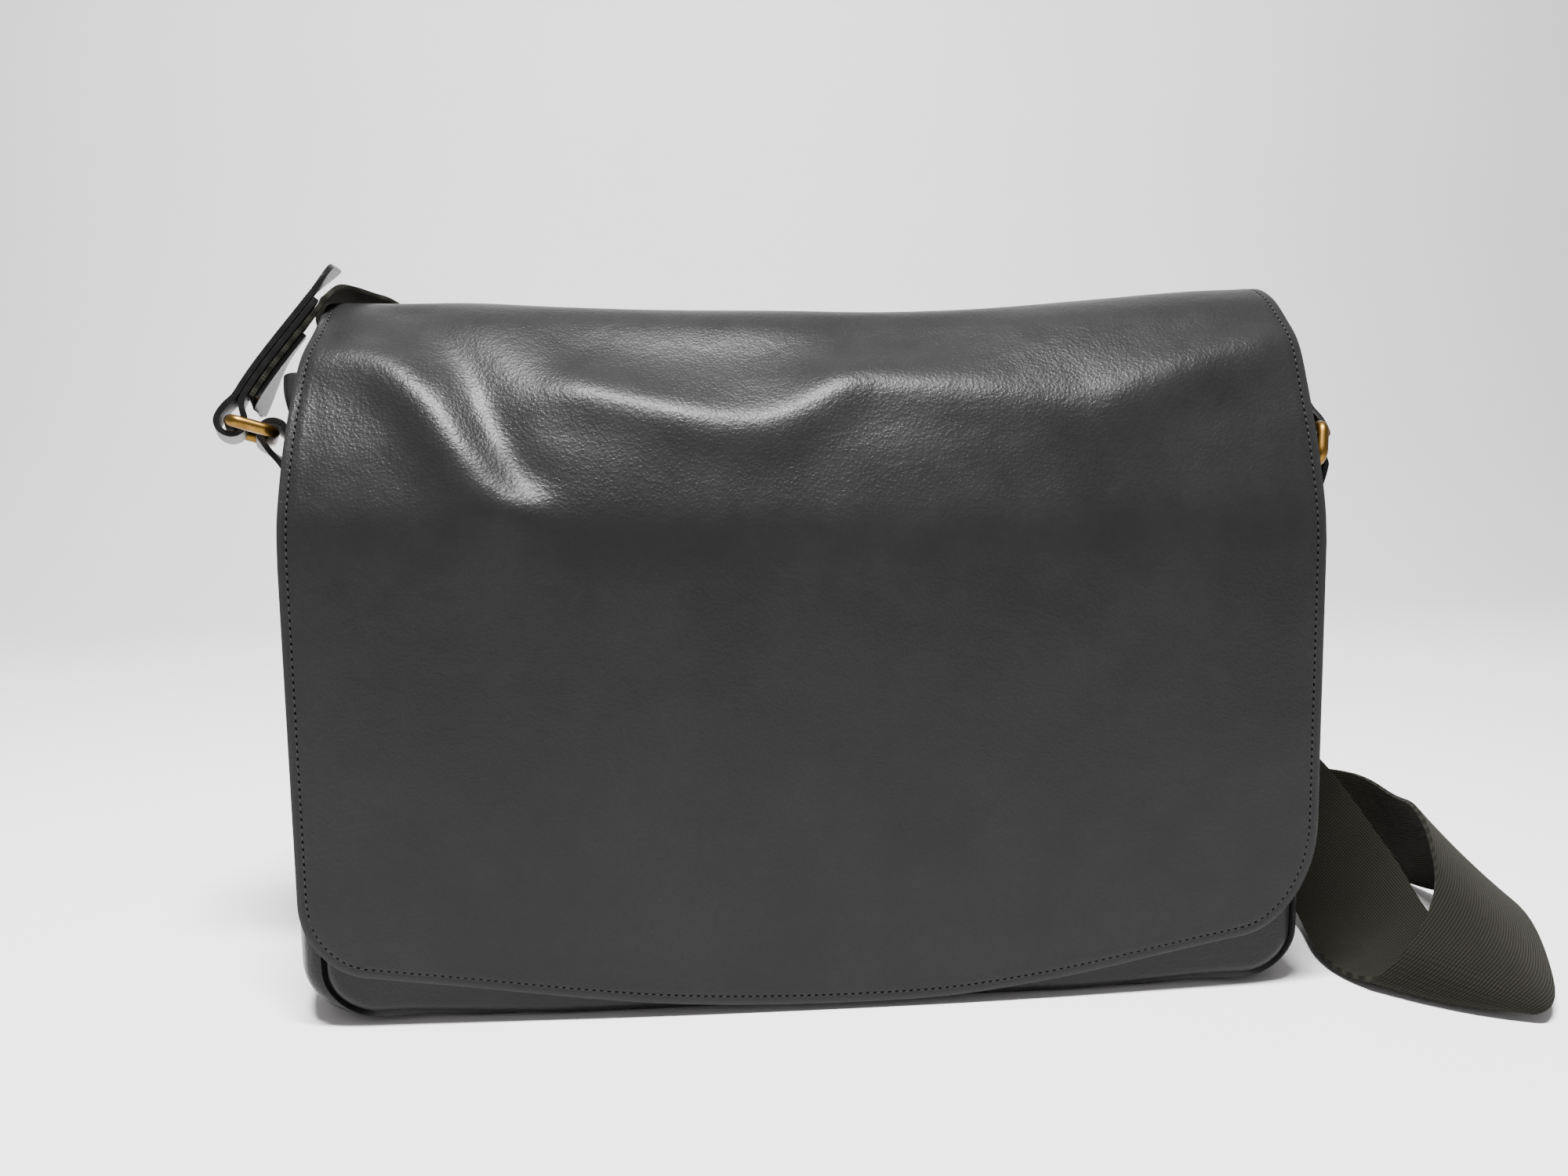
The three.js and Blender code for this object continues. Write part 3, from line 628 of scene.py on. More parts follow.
def webbing_sockets(tree, place, look):
    """Woven twill: slanting ribs along the strap, broken into yarns, with loose fibres; the rib tops are
    painted in a lit colour and the grooves between them in a shaded one.
    """
    flat = node(tree, "ShaderNodeUVMap", uv_map="UVMap").outputs["UV"]
    turn = (0, 0, math.radians(-8))
    slanted = node(tree, "ShaderNodeMapping", {"Vector": flat, "Rotation": turn}).outputs[0]
    waves = []
    for way, axis, pitch, bend in ((slanted, "X", 1, 0.5), (flat, "Y", 1.25, 0.8)):
        scale = 2 * math.pi / 20 / (look.rib_pitch * pitch)
        sockets = {"Vector": way, "Scale": scale, "Distortion": bend, "Detail": 1.0}
        waves.append(node(tree, "ShaderNodeTexWave", sockets, bands_direction=axis).outputs["Fac"])
    rib, pick = waves
    fuzz = noise_node(tree, place, 2600.0, 3.0, Roughness=0.7)["Fac"]
    yarn = math_node(tree, "MULTIPLY", rib, ramp_node(tree, pick, 0.0, 1.0, 0.55, 1.0))
    height = math_node(tree, "ADD", yarn, math_node(tree, "MULTIPLY", fuzz, 0.35))
    faded = ramp_node(tree, mottle(tree, place, 30.0), 0, 1, 0.75, 1)
    # Colour runs from the painted shade in the grooves to the painted light on the rib tops, scaled by a
    # random fading tone.
    lit = math_node(tree, "MULTIPLY", ramp_node(tree, height, 0.1, 1.15), faded)
    return {
        "Base Color": mix_colour(tree, lit, tinted(look.shade), tinted(look.light)),
        "Roughness": ramp_node(tree, height, 0, 1.2, 0.95, 0.8),
        "Normal": bump_node(tree, height, 0.00028, 0.9),
        "Specular IOR Level": 0.12,
        "Sheen Weight": 0.04,
        "Sheen Roughness": 0.5,
        "Sheen Tint": (0.55, 0.53, 0.42, 1),
    }


def brass_sockets(tree, place, look):
    """Satin brass with fine rubbing marks and duller patches."""
    tone = mottle(tree, place, 130.0)
    rubs = noise_node(tree, place, 1500.0, 4.0)["Fac"]
    return {
        "Base Color": mix_colour(tree, tone, tinted(look.tarnish), tinted(look.colour)),
        "Metallic": 1.0,
        "Roughness": ramp_node(tree, tone, 0, 1, 0.42, 0.28),
        "Normal": bump_node(tree, rubs, 0.00005, 0.4),
    }


def thread_sockets(tree, place):
    """Waxed sewing thread with a fine twist."""
    twist = noise_node(tree, place, 2400.0, 2.0)["Fac"]
    return {
        "Base Color": mix_colour(tree, twist, grey(0.008), grey(0.03)),
        "Roughness": ramp_node(tree, twist, 0.3, 0.7, 0.5, 0.65),
        "Normal": bump_node(tree, twist, 0.0001, 0.6),
        "Specular IOR Level": 0.2,
    }


def hole_shade_sockets(tree, place):
    """Painted shade: a dark blob standing for the shaded inside of a needle hole."""
    lint = noise_node(tree, place, 3000.0, 1.0)["Fac"]
    return {
        "Base Color": mix_colour(tree, lint, grey(0.0004), grey(0.001)),
        "Roughness": 0.9,
        "Specular IOR Level": 0.02,
    }


def edge_sockets(tree, place):
    """Smooth glossy paint on cut leather edges."""
    waves = noise_node(tree, place, 260.0, 2.0)["Fac"]
    return {
        "Base Color": mix_colour(tree, waves, grey(0.003), grey(0.007)),
        "Roughness": ramp_node(tree, waves, 0.3, 0.7, 0.2, 0.3),
        "Normal": bump_node(tree, waves, 0.0003, 0.4),
        "Specular IOR Level": 0.2,
    }


def paper_sockets(tree, place, look):
    """Pale paper with a faint change of tone."""
    tone = mottle(tree, place, 1.2)
    return {
        "Base Color": mix_colour(tree, tone, tinted(look.floor, 0.97), tinted(look.floor)),
        "Roughness": 0.7,
        "Specular IOR Level": 0.2,
    }


def leather_of(context, name, edge_mark=False):
    return material_of(name, leather_sockets, context.scene.bag_leather, edge_mark)


def edge_paint():
    return material_of("leather_edge_paint", edge_sockets)


# Stitches

STITCH_LENGTH = 1.7
STITCH_WIDTH = 0.6
STITCH_HEIGHT = 0.4
STITCH_SLANT = math.radians(6)
STITCH_SINK = 0.06
STITCH_TURN = 0.7
# Size of the dark blob of painted shade at each needle hole.
HOLE_SIZE = (1.45, 0.85, 0.4)


def one_stitch(name, pitch):
    """A length of thread, and the hole that it goes down through half a pitch further on, drawn as a dark
    blob of painted shade.
    """
    parts = (
        ((STITCH_LENGTH, STITCH_WIDTH, STITCH_HEIGHT), 0.0, material_of("thread_waxed", thread_sockets)),
        (HOLE_SIZE, pitch / 2, material_of("needle_hole", hole_shade_sockets)),
    )
    made = []
    for size, shift, look in parts:
        deselect()
        bpy.ops.mesh.primitive_uv_sphere_add(segments=8, ring_count=5, radius=0.5)
        made.append(bpy.context.active_object)
        scale = Matrix.Diagonal((*[length * MM for length in size], 1))
        made[-1].data.transform(Matrix.Translation((shift * MM, 0, 0)) @ scale)
        dress(made[-1], look)
        bpy.ops.object.shade_smooth()
    hold(made[0])
    made[1].select_set(True)
    bpy.ops.object.join()
    made[0].name = made[0].data.name = name
    return made[0]


def sew(name, points, along, outward, pitch):
    """Row of stitches: one is modelled and copied to each point."""
    first = one_stitch(name, pitch)
    shape = first.data.copy()
    copies = []
    for k, (point, run, out) in enumerate(zip(points * MM, along, outward)):
        forward = Vector(run).normalized()
        up = Vector(out).normalized()
        side = up.cross(forward).normalized()
        turn = Matrix((forward, side, forward.cross(side))).transposed().to_4x4()
        stand = Matrix.Translation(Vector(point)) @ turn @ Matrix.Rotation(STITCH_SLANT, 4, "Z")
        if k == 0:
            first.data.transform(stand)
            continue
        mesh = shape.copy()
        mesh.transform(stand)
        copy = bpy.data.objects.new(f"{name}_{k}", mesh)
        bpy.context.scene.collection.objects.link(copy)
        copies.append(copy)
    hold(first)
    for copy in copies:
        copy.select_set(True)
    bpy.ops.object.join()
    bpy.data.meshes.remove(shape)
    return finish_piece(first, "leather")


# Flap

FLAP_LAST_STATION = FLAP_PROFILE[-1][0]
FLAP_CORNER_STEPS = 16
FLAP_MIDDLE_STEPS = 96
HEM_BAND = 0.05
HEM_SEARCH_Z = 90
HEM_SWELL, HEM_SWELL_TURN = 2.2, 1.6
FOLD_FADE_IN, FOLD_FADE_OUT = (0.2, 1.4), (6, 7.5)
PRESS_X, PRESS_STATION, PRESS_SPREAD = (150, 200), 5.6, 1.2
TAIL_STATIONS = (8, 11)
RIM_DROP, RIM_WIDTH = 0.35, 1.4
FURROW_DEPTH, FURROW_WIDTH = 0.28, 0.8
SWELL_HEIGHT, SWELL_WIDTH, SWELL_SHIFT = 0.18, 1.8, 2.4
FLAP_SLACK = 0.35
FLAP_EDGE = 0.9
TAIL_ROWS, TAIL_SKIP = 20, 12


def hem_height(x):
    height = curve_through(HEM_CURVE, x)[..., 0]
    for side, (start, width, tall, low) in HEM_CORNERS.items():
        past = x * side - start
        k = np.clip(past / width, 0, 1)
        corner = low + tall * (1 - np.sqrt(1 - k * k)) + HEM_SWELL * np.sin(k * HEM_SWELL_TURN)
        height = np.where(past > 0, corner, height)
    return height


def flap_profile(x, station):
    rows = curve_through(FLAP_PROFILE, station)
    share = (x / FLAP_HALF + 1) / 2
    droop = rows[..., 4] * curve_through(RIDGE_DROP, x)[..., 0]
    y = FLAP_FRONT_Y + mix(rows[..., 0], rows[..., 2], share)
    return y, mix(rows[..., 1], rows[..., 3], share) - droop


def profile_run(station):
    """Length of leather from the break of the front to a station, at the middle of the flap."""
    stations = np.linspace(0, FLAP_LAST_STATION, 241)
    path = np.column_stack(flap_profile(np.zeros_like(stations), stations))
    return np.interp(station, stations, run_along(path))


def fold_height(x, station):
    """Height of all folds: each is a soft stroke drawn along its line on the flat leather."""
    run = profile_run(station)
    height = 0.0
    for breadth, rise, *line in FLAP_FOLDS:
        line = np.array(line, float)
        line[:, 1] = profile_run(line[:, 1])
        table = np.column_stack([np.arange(len(line)), line])
        fine = curve_through(table, np.linspace(0, len(line) - 1, 160))
        share = even_steps(fine, FOLD_STEP)
        stroke = sum(np.exp(-((x - a) ** 2 + (run - b) ** 2) / breadth**2) for a, b in rows_at(fine, share))
        height = height + rise * stroke * FOLD_STEP / (breadth * math.sqrt(math.pi))
    return height * smooth(*FOLD_FADE_IN, station) * (1 - smooth(*FOLD_FADE_OUT, station))


def flap_columns():
    turn = np.sin(np.linspace(0, math.pi / 2, FLAP_CORNER_STEPS + 1)[1:])
    left, right = (start + width * turn for start, width, *_ in HEM_CORNERS.values())
    middle = np.linspace(-HEM_CORNERS[-1][0], HEM_CORNERS[1][0], FLAP_MIDDLE_STEPS + 1)
    return np.concatenate([-left[::-1], middle, right])


def flap_rows():
    """Shares of the flat front from the hem to the break, and stations from there to the back seam."""
    shares = np.concatenate([np.linspace(0, HEM_BAND, 13)[:-1], np.linspace(HEM_BAND, 1, 34)[:-1]])
    return shares, np.linspace(0, FLAP_LAST_STATION, 97)


def flap_grid(strength):
    x = flap_columns()
    shares, stations = flap_rows()
    top = flap_profile(x, np.zeros_like(x))[1]
    low = hem_height(x)
    front_z = mix(low, top, shares[:, None])
    flat_y = np.full(front_z.shape, FLAP_FRONT_Y)
    front = np.stack([np.broadcast_to(x, front_z.shape), flat_y, front_z], axis=-1)
    xs, ss = np.meshgrid(x, stations)
    y, z = flap_profile(xs, ss)
    y1, z1 = flap_profile(xs, ss + 0.05)
    slope = unit(np.stack([y1 - y, z1 - z], axis=-1))
    slope[-1] = slope[-2]
    lift = fold_height(xs, ss) * strength
    pressed = smooth(*PRESS_X, -xs) * np.exp(-(((ss - PRESS_STATION) / PRESS_SPREAD) ** 2))
    along = xs * mix(1, FLAP_TAIL_SHARE, smooth(*TAIL_STATIONS, ss)) + FLAP_LEFT_PRESS * pressed
    shoulder = np.stack([along, y - slope[..., 1] * lift, z + slope[..., 0] * lift], axis=-1)
    return np.concatenate([front, shoulder])


def flap_edge_distance(points):
    """Distance of each point from the flap's edge, measured along the leather."""
    x = points[0, :, 0]
    hem = np.stack([x, points[0, :, 2]], axis=-1)
    distance = np.minimum(points[..., 0] - points[:, :1, 0], points[:, -1:, 0] - points[..., 0])
    low = points[..., 2] < HEM_SEARCH_Z
    low[len(flap_rows()[0]):] = False
    flat = points[low][:, [0, 2]]
    fine = rows_at(hem, np.linspace(0, len(x) - 1, 1200))
    nearest = np.concatenate(
        [np.linalg.norm(part[:, None] - fine[None], axis=-1).min(axis=1) for part in np.array_split(flat, 8)]
    )
    distance[low] = np.minimum(distance[low], nearest)
    run = np.linalg.norm(np.diff(points, axis=0), axis=-1)
    to_tail = np.concatenate([np.cumsum(run[::-1], axis=0)[::-1], np.zeros((1, run.shape[1]))])
    return np.maximum(0, np.minimum(distance, to_tail))


def flap_relief(points, distance, inset):
    """Turned edge: a soft drop at the rim, a slight swell, and the furrow that the stitches pull."""
    drop = -RIM_DROP * np.clip(1 - distance / RIM_WIDTH, 0, 1) ** 2
    furrow = -FURROW_DEPTH * np.exp(-(((distance - inset) / FURROW_WIDTH) ** 2))
    swell = SWELL_HEIGHT * np.exp(-(((distance - inset - SWELL_SHIFT) / SWELL_WIDTH) ** 2))
    run = np.arange(points.shape[0])[:, None] * 3.0
    waves = ripple(points[..., 0], run + points[..., 2] * 0.2, 120.0, 3)
    return drop + furrow + swell + FLAP_SLACK * waves * smooth(4, 30, distance)


def flap_stitch_path(points, normals, distance, inset):
    """Line of the stitches: down the left edge, along the hem and up the right edge."""
    rows, columns = distance.shape
    path, out = [], []

    def crossing(line, order):
        """First place along a row or column of the grid where the distance passes the inset."""
        for a, b in zip(order[:-1], order[1:]):
            da, db = distance[line(a)], distance[line(b)]
            if da < inset <= db:
                share = (inset - da) / (db - da)
                path.append(mix(points[line(a)], points[line(b)], share))
                out.append(mix(normals[line(a)], normals[line(b)], share))
                return

    middle = columns // 2
    tail = rows - 5
    bend = int(np.argmax(flap_rows()[0] > HEM_BAND))
    for j in range(tail, bend, -1):
        crossing(lambda i, j=j: (j, i), list(range(0, middle)))
    corner_x = FLAP_HALF - inset - STITCH_TURN
    left, right = (int(np.argmin(np.abs(points[0, :, 0] - side * corner_x))) for side in (-1, 1))
    for i in range(left, right + 1):
        crossing(lambda j, i=i: (j, i), list(range(0, rows // 2)))
    for j in range(bend + 1, tail + 1):
        crossing(lambda i, j=j: (j, i), list(range(columns - 1, middle, -1)))
    return np.array(path), np.array(out)


def stitch_row(name, path, out, pitch):
    share = even_steps(path, pitch)
    ahead, behind = np.minimum(share + 0.2, len(path) - 1), np.maximum(share - 0.2, 0)
    up = unit(rows_at(out, share))
    run = rows_at(path, ahead) - rows_at(path, behind)
    return sew(name, rows_at(path, share) - up * STITCH_SINK, run, up, pitch)


class BAG_OT_flap(bpy.types.Operator):
    """Build the flap with its folds, turned edge and stitches"""

    bl_idname = "bag.flap"
    bl_label = "Flap"

    def execute(self, context):
        shape = context.scene.bag_flap
        inset, pitch = shape.stitch_inset / MM, shape.stitch_pitch / MM
        points = flap_grid(shape.fold_strength)
        distance = flap_edge_distance(points)
        normals = grid_normals(points)
        points = points + normals * flap_relief(points, distance, inset)[..., None]
        # The flap's leather carries the painted highlight along its rim.
        looks = leather_of(context, "leather_flap", edge_mark=True), edge_paint()
        leather_wall("flap", points, shape.wall / MM, looks, edge=FLAP_EDGE, marks={"edge_mm": distance})
        path, out = flap_stitch_path(points, normals, distance, inset)
        stitch_row("flap_stitches", path, out, pitch)
        from_inset = np.abs(distance[:, distance.shape[1] // 2] - inset)
        tail = len(distance) - TAIL_ROWS + int(np.argmin(from_inset[-TAIL_ROWS:]))
        kept = slice(TAIL_SKIP, -TAIL_SKIP)
        stitch_row("flap_tail_stitches", points[tail, kept], normals[tail, kept], pitch)
        return {"FINISHED"}


# Body

SEAM_ROLL = 3.4
SEAM_DEPTH = 1.3
BASE_TUCK = 3.4
BASE_TUCK_ENDS = (150, 172)
BASE_SAG = 2.2
BASE_SAG_ENDS = (95, 172)
BASE_SAG_TOP_Z = 30
CORNER_LIFT = 2.0
FLAP_CLEARANCE = 1.0
PANEL_SLACK = 0.5
GUSSET_SLACK = 0.6
GUSSET_COLUMNS = 49


def front_y(z):
    return curve_through(FRONT_PROFILE, z)[..., 0]


def front_face(x, z):
    sag = FRONT_SAG * smooth(*FRONT_SAG_Z, z) * (1 - np.abs(x / PANEL_HALF) ** 3)
    return front_y(z) + sag


def back_y(z):
    return mix(BACK_BASE_Y, BACK_TOP_Y, smooth(BACK_LEAN_Z, BACK_TOP_Z, z))


def panel_half(z):
    k = np.clip(1 - (z - PANEL_BOTTOM_Z) / PANEL_RADIUS, 0, 1)
    return PANEL_HALF - PANEL_RADIUS * (1 - np.sqrt(1 - k * k))


def base_lift(x, z):
    """Height that the lower edge gains: the base sags along its middle and its corners ride up."""
    rise = mix(-BASE_SAG, CORNER_LIFT, smooth(*BASE_SAG_ENDS, np.abs(x)))
    return rise * (1 - smooth(PANEL_BOTTOM_Z, BASE_SAG_TOP_Z, z))


def behind_flap(points, flap, wall):
    """Moves the front panel's points back where the flap's folds press on it."""
    inner = flap - grid_normals(flap) * wall
    ridge = int(np.argmax(inner[:, inner.shape[1] // 2, 2]))
    lower = inner[:ridge]
    heights = points[:, 0, 2]
    columns = lower.swapaxes(0, 1)
    limit = np.stack([np.interp(heights, column[:, 2], column[:, 1]) for column in columns], axis=1)
    cleared = points.copy()
    for row, line in zip(cleared, limit):
        row[:, 1] = np.maximum(row[:, 1], np.interp(row[:, 0], lower[0, :, 0], line) + FLAP_CLEARANCE)
    return cleared


def panel_grid(face, top_z, side):
    """Panel from base to top; side is -1 for the front and 1 for the back."""
    turn = np.linspace(0, math.pi / 2, 15)
    heights = np.concatenate(
        [
            PANEL_BOTTOM_Z + PANEL_RADIUS * (1 - np.cos(turn)),
            np.linspace(PANEL_BOTTOM_Z + PANEL_RADIUS, top_z, 72)[1:],
        ]
    )
    even = np.linspace(-1, 1, 97)
    across = mix(even, np.sin(even * math.pi / 2), 0.85)
    z = np.broadcast_to(heights[:, None], (len(heights), len(across)))
    x = panel_half(z) * across * -side
    corner = np.hypot(
        np.maximum(0, np.abs(x) - (PANEL_HALF - PANEL_RADIUS)),
        np.maximum(0, PANEL_BOTTOM_Z + PANEL_RADIUS - z),
    )
    inside = np.minimum(PANEL_HALF - np.abs(x), z - PANEL_BOTTOM_Z)
    round_corner = (np.abs(x) > PANEL_HALF - PANEL_RADIUS) & (z < PANEL_BOTTOM_Z + PANEL_RADIUS)
    distance = np.where(round_corner, np.maximum(0, PANEL_RADIUS - corner), inside)
    roll = SEAM_DEPTH * np.clip(1 - distance / SEAM_ROLL, 0, 1) ** 2
    slack = PANEL_SLACK * ripple(x, z, 110.0, 11 + side) * smooth(3, 25, distance)
    y = face(x, z) - side * roll + side * slack
    return np.stack([x, y, z + base_lift(x, z)], axis=-1)


def gusset_outline():
    """Seam down the left side, along the base and up the right: x, z, outward x, outward z."""
    corner_z = PANEL_BOTTOM_Z + PANEL_RADIUS
    flat = PANEL_HALF - PANEL_RADIUS

    def stretch(x, z, out_x, out_z):
        return np.column_stack(np.broadcast_arrays(x, z, out_x, out_z))

    turn = np.linspace(0, math.pi / 2, 18)[:-1]
    cos, sin = np.cos(turn), np.sin(turn)
    left = stretch(-PANEL_HALF, np.linspace(GUSSET_TOP_Z, corner_z, 80)[:-1], -1.0, 0.0)
    bend = stretch(-flat - PANEL_RADIUS * cos, corner_z - PANEL_RADIUS * sin, -cos, -sin)
    base = stretch(np.linspace(-flat, flat, 100), PANEL_BOTTOM_Z, 0.0, -1.0)
    mirrored = np.concatenate([left, bend])[::-1] * (-1, 1, -1, 1)
    return np.concatenate([left, bend, base, mirrored])


def gusset_grid():
    x, z, nx, nz = (column[:, None] for column in gusset_outline().T)
    even = np.linspace(0, 1, GUSSET_COLUMNS)[None, :]
    k = mix(even, 0.5 - 0.5 * np.cos(math.pi * even), 0.8)
    arch = np.clip(np.sin(math.pi * k), 0, 1)
    low = np.where(nx < 0, GUSSET_LOW_BULGE[-1], GUSSET_LOW_BULGE[1]) * (1 - smooth(*GUSSET_LOW_Z, z))
    side = np.where(nx < 0, GUSSET_BULGE[-1], GUSSET_BULGE[1]) + low
    upper = 1 - GUSSET_EASE * smooth(*GUSSET_EASE_Z, z)
    flare = np.where(nx < 0, GUSSET_FLARE * arch**0.3 * (1 - k) * smooth(GUSSET_FLARE_Z, GUSSET_TOP_Z, z), 0)
    slack = GUSSET_SLACK * ripple(k * 110.0, z + x, 75.0, 5) * arch
    bulge = np.abs(nx) ** 0.45 * side * upper * arch**0.45
    out_x = nx * GUSSET_SEAT + np.sign(nx) * (bulge + flare + slack * np.abs(nx))
    base_share = np.clip(np.minimum(k, 1 - k) / 0.1, 0, 1)
    out_z = nz * (GUSSET_SEAT + GUSSET_BASE_BULGE * base_share)
    hollow = np.where(nx < 0, 0.4 * GUSSET_DIP * arch - GUSSET_RISE * arch**0.5, GUSSET_DIP * arch)
    dip = (hollow + GUSSET_BACK_DROP * k) * smooth(GUSSET_DIP_Z, GUSSET_TOP_Z, z)
    seam = np.minimum(k, 1 - k)
    tuck = np.where(nz < -0.999, mix(BASE_TUCK, SEAM_DEPTH, smooth(*BASE_TUCK_ENDS, np.abs(x))), SEAM_DEPTH)
    y = mix(front_y(z), back_y(z), k) + tuck * smooth(0.04, 0, seam) * np.where(k < 0.5, 1, -1)
    raised = np.maximum(0, base_lift(x, z)) * smooth(0.25, 0, seam)
    return np.stack([x + out_x, y, z + out_z - dip + raised], axis=-1)


class BAG_OT_panels(bpy.types.Operator):
    """Build the front and back panels with their rolled seams"""

    bl_idname = "bag.panels"
    bl_label = "Panels"

    def execute(self, context):
        looks = [leather_of(context, "leather_body")]
        shape = context.scene.bag_flap
        flap = flap_grid(shape.fold_strength)
        front = behind_flap(panel_grid(front_face, FRONT_TOP_Z, -1), flap, shape.wall / MM)
        leather_wall("front_panel", front, PANEL_WALL, looks)
        leather_wall("back_panel", panel_grid(lambda x, z: back_y(z), BACK_TOP_Z, 1), PANEL_WALL, looks)
        return {"FINISHED"}


class BAG_OT_gusset(bpy.types.Operator):
    """Build the strip that joins the panels at the sides and base"""

    bl_idname = "bag.gusset"
    bl_label = "Gusset"

    def execute(self, context):
        leather_wall("gusset", gusset_grid(), PANEL_WALL, [leather_of(context, "leather_body")])
        return {"FINISHED"}


# Rings

TORUS_TUBE = 0.25


def ring_axes(side):
    centre, long, short = (np.array(values, float) for values in RINGS[side])
    long = unit(long)
    short = unit(short - long * short.dot(long))
    return centre, long, short, np.cross(long, short)


def ring_outline(turn):
    """Point and outward angle on the wire's centre line, for each share of the way round."""
    long, short = ((size - RING_WIRE) / 2 - RING_CORNER for size in (RING_LONG, RING_SHORT))
    stops = [(long, 0, 0)]
    for k, (x, y) in enumerate(((long, short), (-long, short), (-long, -short), (long, -short))):
        stops += [(x, y, k * math.pi / 2), (x, y, (k + 1) * math.pi / 2)]
    stops = np.array([*stops, (long, 0, 2 * math.pi)])
    run = run_along(stops * (1, 1, RING_CORNER))
    x, y, angle = (np.interp(turn * run[-1], run, column) for column in stops.T)
    return x + RING_CORNER * np.cos(angle), y + RING_CORNER * np.sin(angle), angle


class BAG_OT_rings(bpy.types.Operator):
    """Bend a torus into each rectangular wire ring"""

    bl_idname = "bag.rings"
    bl_label = "Rings"

    def execute(self, context):
        brass = material_of("ring_brass", brass_sockets, context.scene.bag_brass)
        for side in RINGS:
            centre, long, short, normal = ring_axes(side)
            deselect()
            bpy.ops.mesh.primitive_torus_add(
                major_segments=168, minor_segments=20, major_radius=1, minor_radius=TORUS_TUBE
            )
            ring = bpy.context.active_object
            ring.name = ring.data.name = f"ring_{side}_brass"
            co = np.array([v.co for v in ring.data.vertices])
            turn = (np.arctan2(co[:, 1], co[:, 0]) / (2 * math.pi)) % 1
            radial = RING_WIRE / 2 * (np.hypot(co[:, 0], co[:, 1]) - 1) / TORUS_TUBE
            rise = RING_WIRE / 2 * co[:, 2] / TORUS_TUBE
            x, y, angle = ring_outline(turn)
            local = np.stack([x + radial * np.cos(angle), y + radial * np.sin(angle), rise], axis=-1)
            placed = centre + local @ np.stack([long, short, normal])
            ring.data.vertices.foreach_set("co", (placed * MM).ravel())
            ring.data.update()
            hold(ring)
            bpy.ops.object.mode_set(mode="EDIT")
            bpy.ops.mesh.select_all(action="SELECT")
            bpy.ops.mesh.normals_make_consistent(inside=False)
            bpy.ops.object.mode_set(mode="OBJECT")
            bpy.ops.object.shade_smooth()
            dress(ring, brass)
            finish_piece(ring, "brass", f"ring_{side}")
        return {"FINISHED"}


# Strap, ends and tabs

STRIP_COLUMNS = 17
WEBBING_ROWS = 720
PATH_PARTS = 3
LEG_STEP = 9
LOOP_STEP = 22.5
STRAP_EDGE = 0.7
FACING_EDGE = 0.6
EDGE_STITCH_INSET = 3.6
EDGE_STITCH_PITCH = 3.2


def bar_row(side, bar, turn):
    """Carrier row on a ring's long bar: bar 1 is the strap's, bar -1 the tab's."""
    centre, long, short, _ = ring_axes(side)
    at = centre + short * bar * (RING_SHORT - RING_WIRE) / 2
    return (*at, *(long * turn), 0)


def end_rows(side, depth=0.0):
    """Carrier rows from the ring's bar to the free tip, set off below the two legs by a depth."""
    tip, tip_across, turn, bend, twist = (np.array(values, float) for values in STRAP_TIPS[side])
    bar = np.array(bar_row(side, 1, turn))
    run = tip - bar[:3]
    rows = []
    for share in END_SHARES:
        across = mix(bar[3:6], tip_across, share)
        rise = END_CAMBER * math.sin(math.pi * share**0.6) * (1 - 0.6 * share) + depth
        free = float(share == 1)
        at = bar[:3] + run * share + unit(np.cross(run, across)) * rise + bend * free
        rows.append((*at, *(across + twist * free), 0))
    return rows


class Carrier:
    """Centre line with a direction across it."""

    def __init__(self, rows):
        rows = np.asarray(rows, float)
        stations = run_along(rows[:, :3])
        self.table = np.column_stack([stations, rows])
        self.length = float(stations[-1])

    def frame(self, station):
        inside = np.clip(station, 0, self.length)
        values = curve_through(self.table, inside)
        ahead = curve_through(self.table, np.minimum(self.length, inside + 0.5))
        behind = curve_through(self.table, np.maximum(0, inside - 0.5))
        along = unit(ahead[..., :3] - behind[..., :3])
        across = unit(values[..., 3:6])
        at = values[..., :3] + along * (station - inside)[..., None]
        return at, across, unit(np.cross(along, across)), values[..., 6]


def flip_across(row):
    return (*row[:3], *(-np.array(row[3:6])), row[6])


def strap_line():
    left, right = (end_rows(side, WEBBING_DEPTH)[:-1] for side in ("left", "right"))
    return Carrier([*left, *STRAP_RUN, *[flip_across(row) for row in right[::-1]]])


def tip_half(half, from_tip):
    k = np.clip(1 - np.asarray(from_tip, float) / TIP_RADIUS, 0, 1)
    return half - TIP_RADIUS * (1 - np.sqrt(1 - k * k))


def strip_grid(line, path, columns):
    """Grid of a strip on a carrier. Path: station, offset, half-width, tilt of the far edge."""
    path = np.asarray(path, float)
    at, across, normal, bow = line.frame(path[:, 0])
    u = np.linspace(-1, 1, columns)[None, :, None]
    half = path[:, 2][:, None, None]
    tilt = path[:, 3][:, None, None] if path.shape[1] > 3 else 0
    lift = path[:, 1][:, None, None] + tilt * u + bow[:, None, None] * (1 - u * u)
    return at[:, None] + across[:, None] * u * half + normal[:, None] * lift


def finer(path):
    """The same path with more rows."""
    table = np.column_stack([np.arange(len(path)), np.asarray(path, float)])
    return curve_through(table, np.linspace(0, len(path) - 1, (len(path) - 1) * PATH_PARTS + 1))


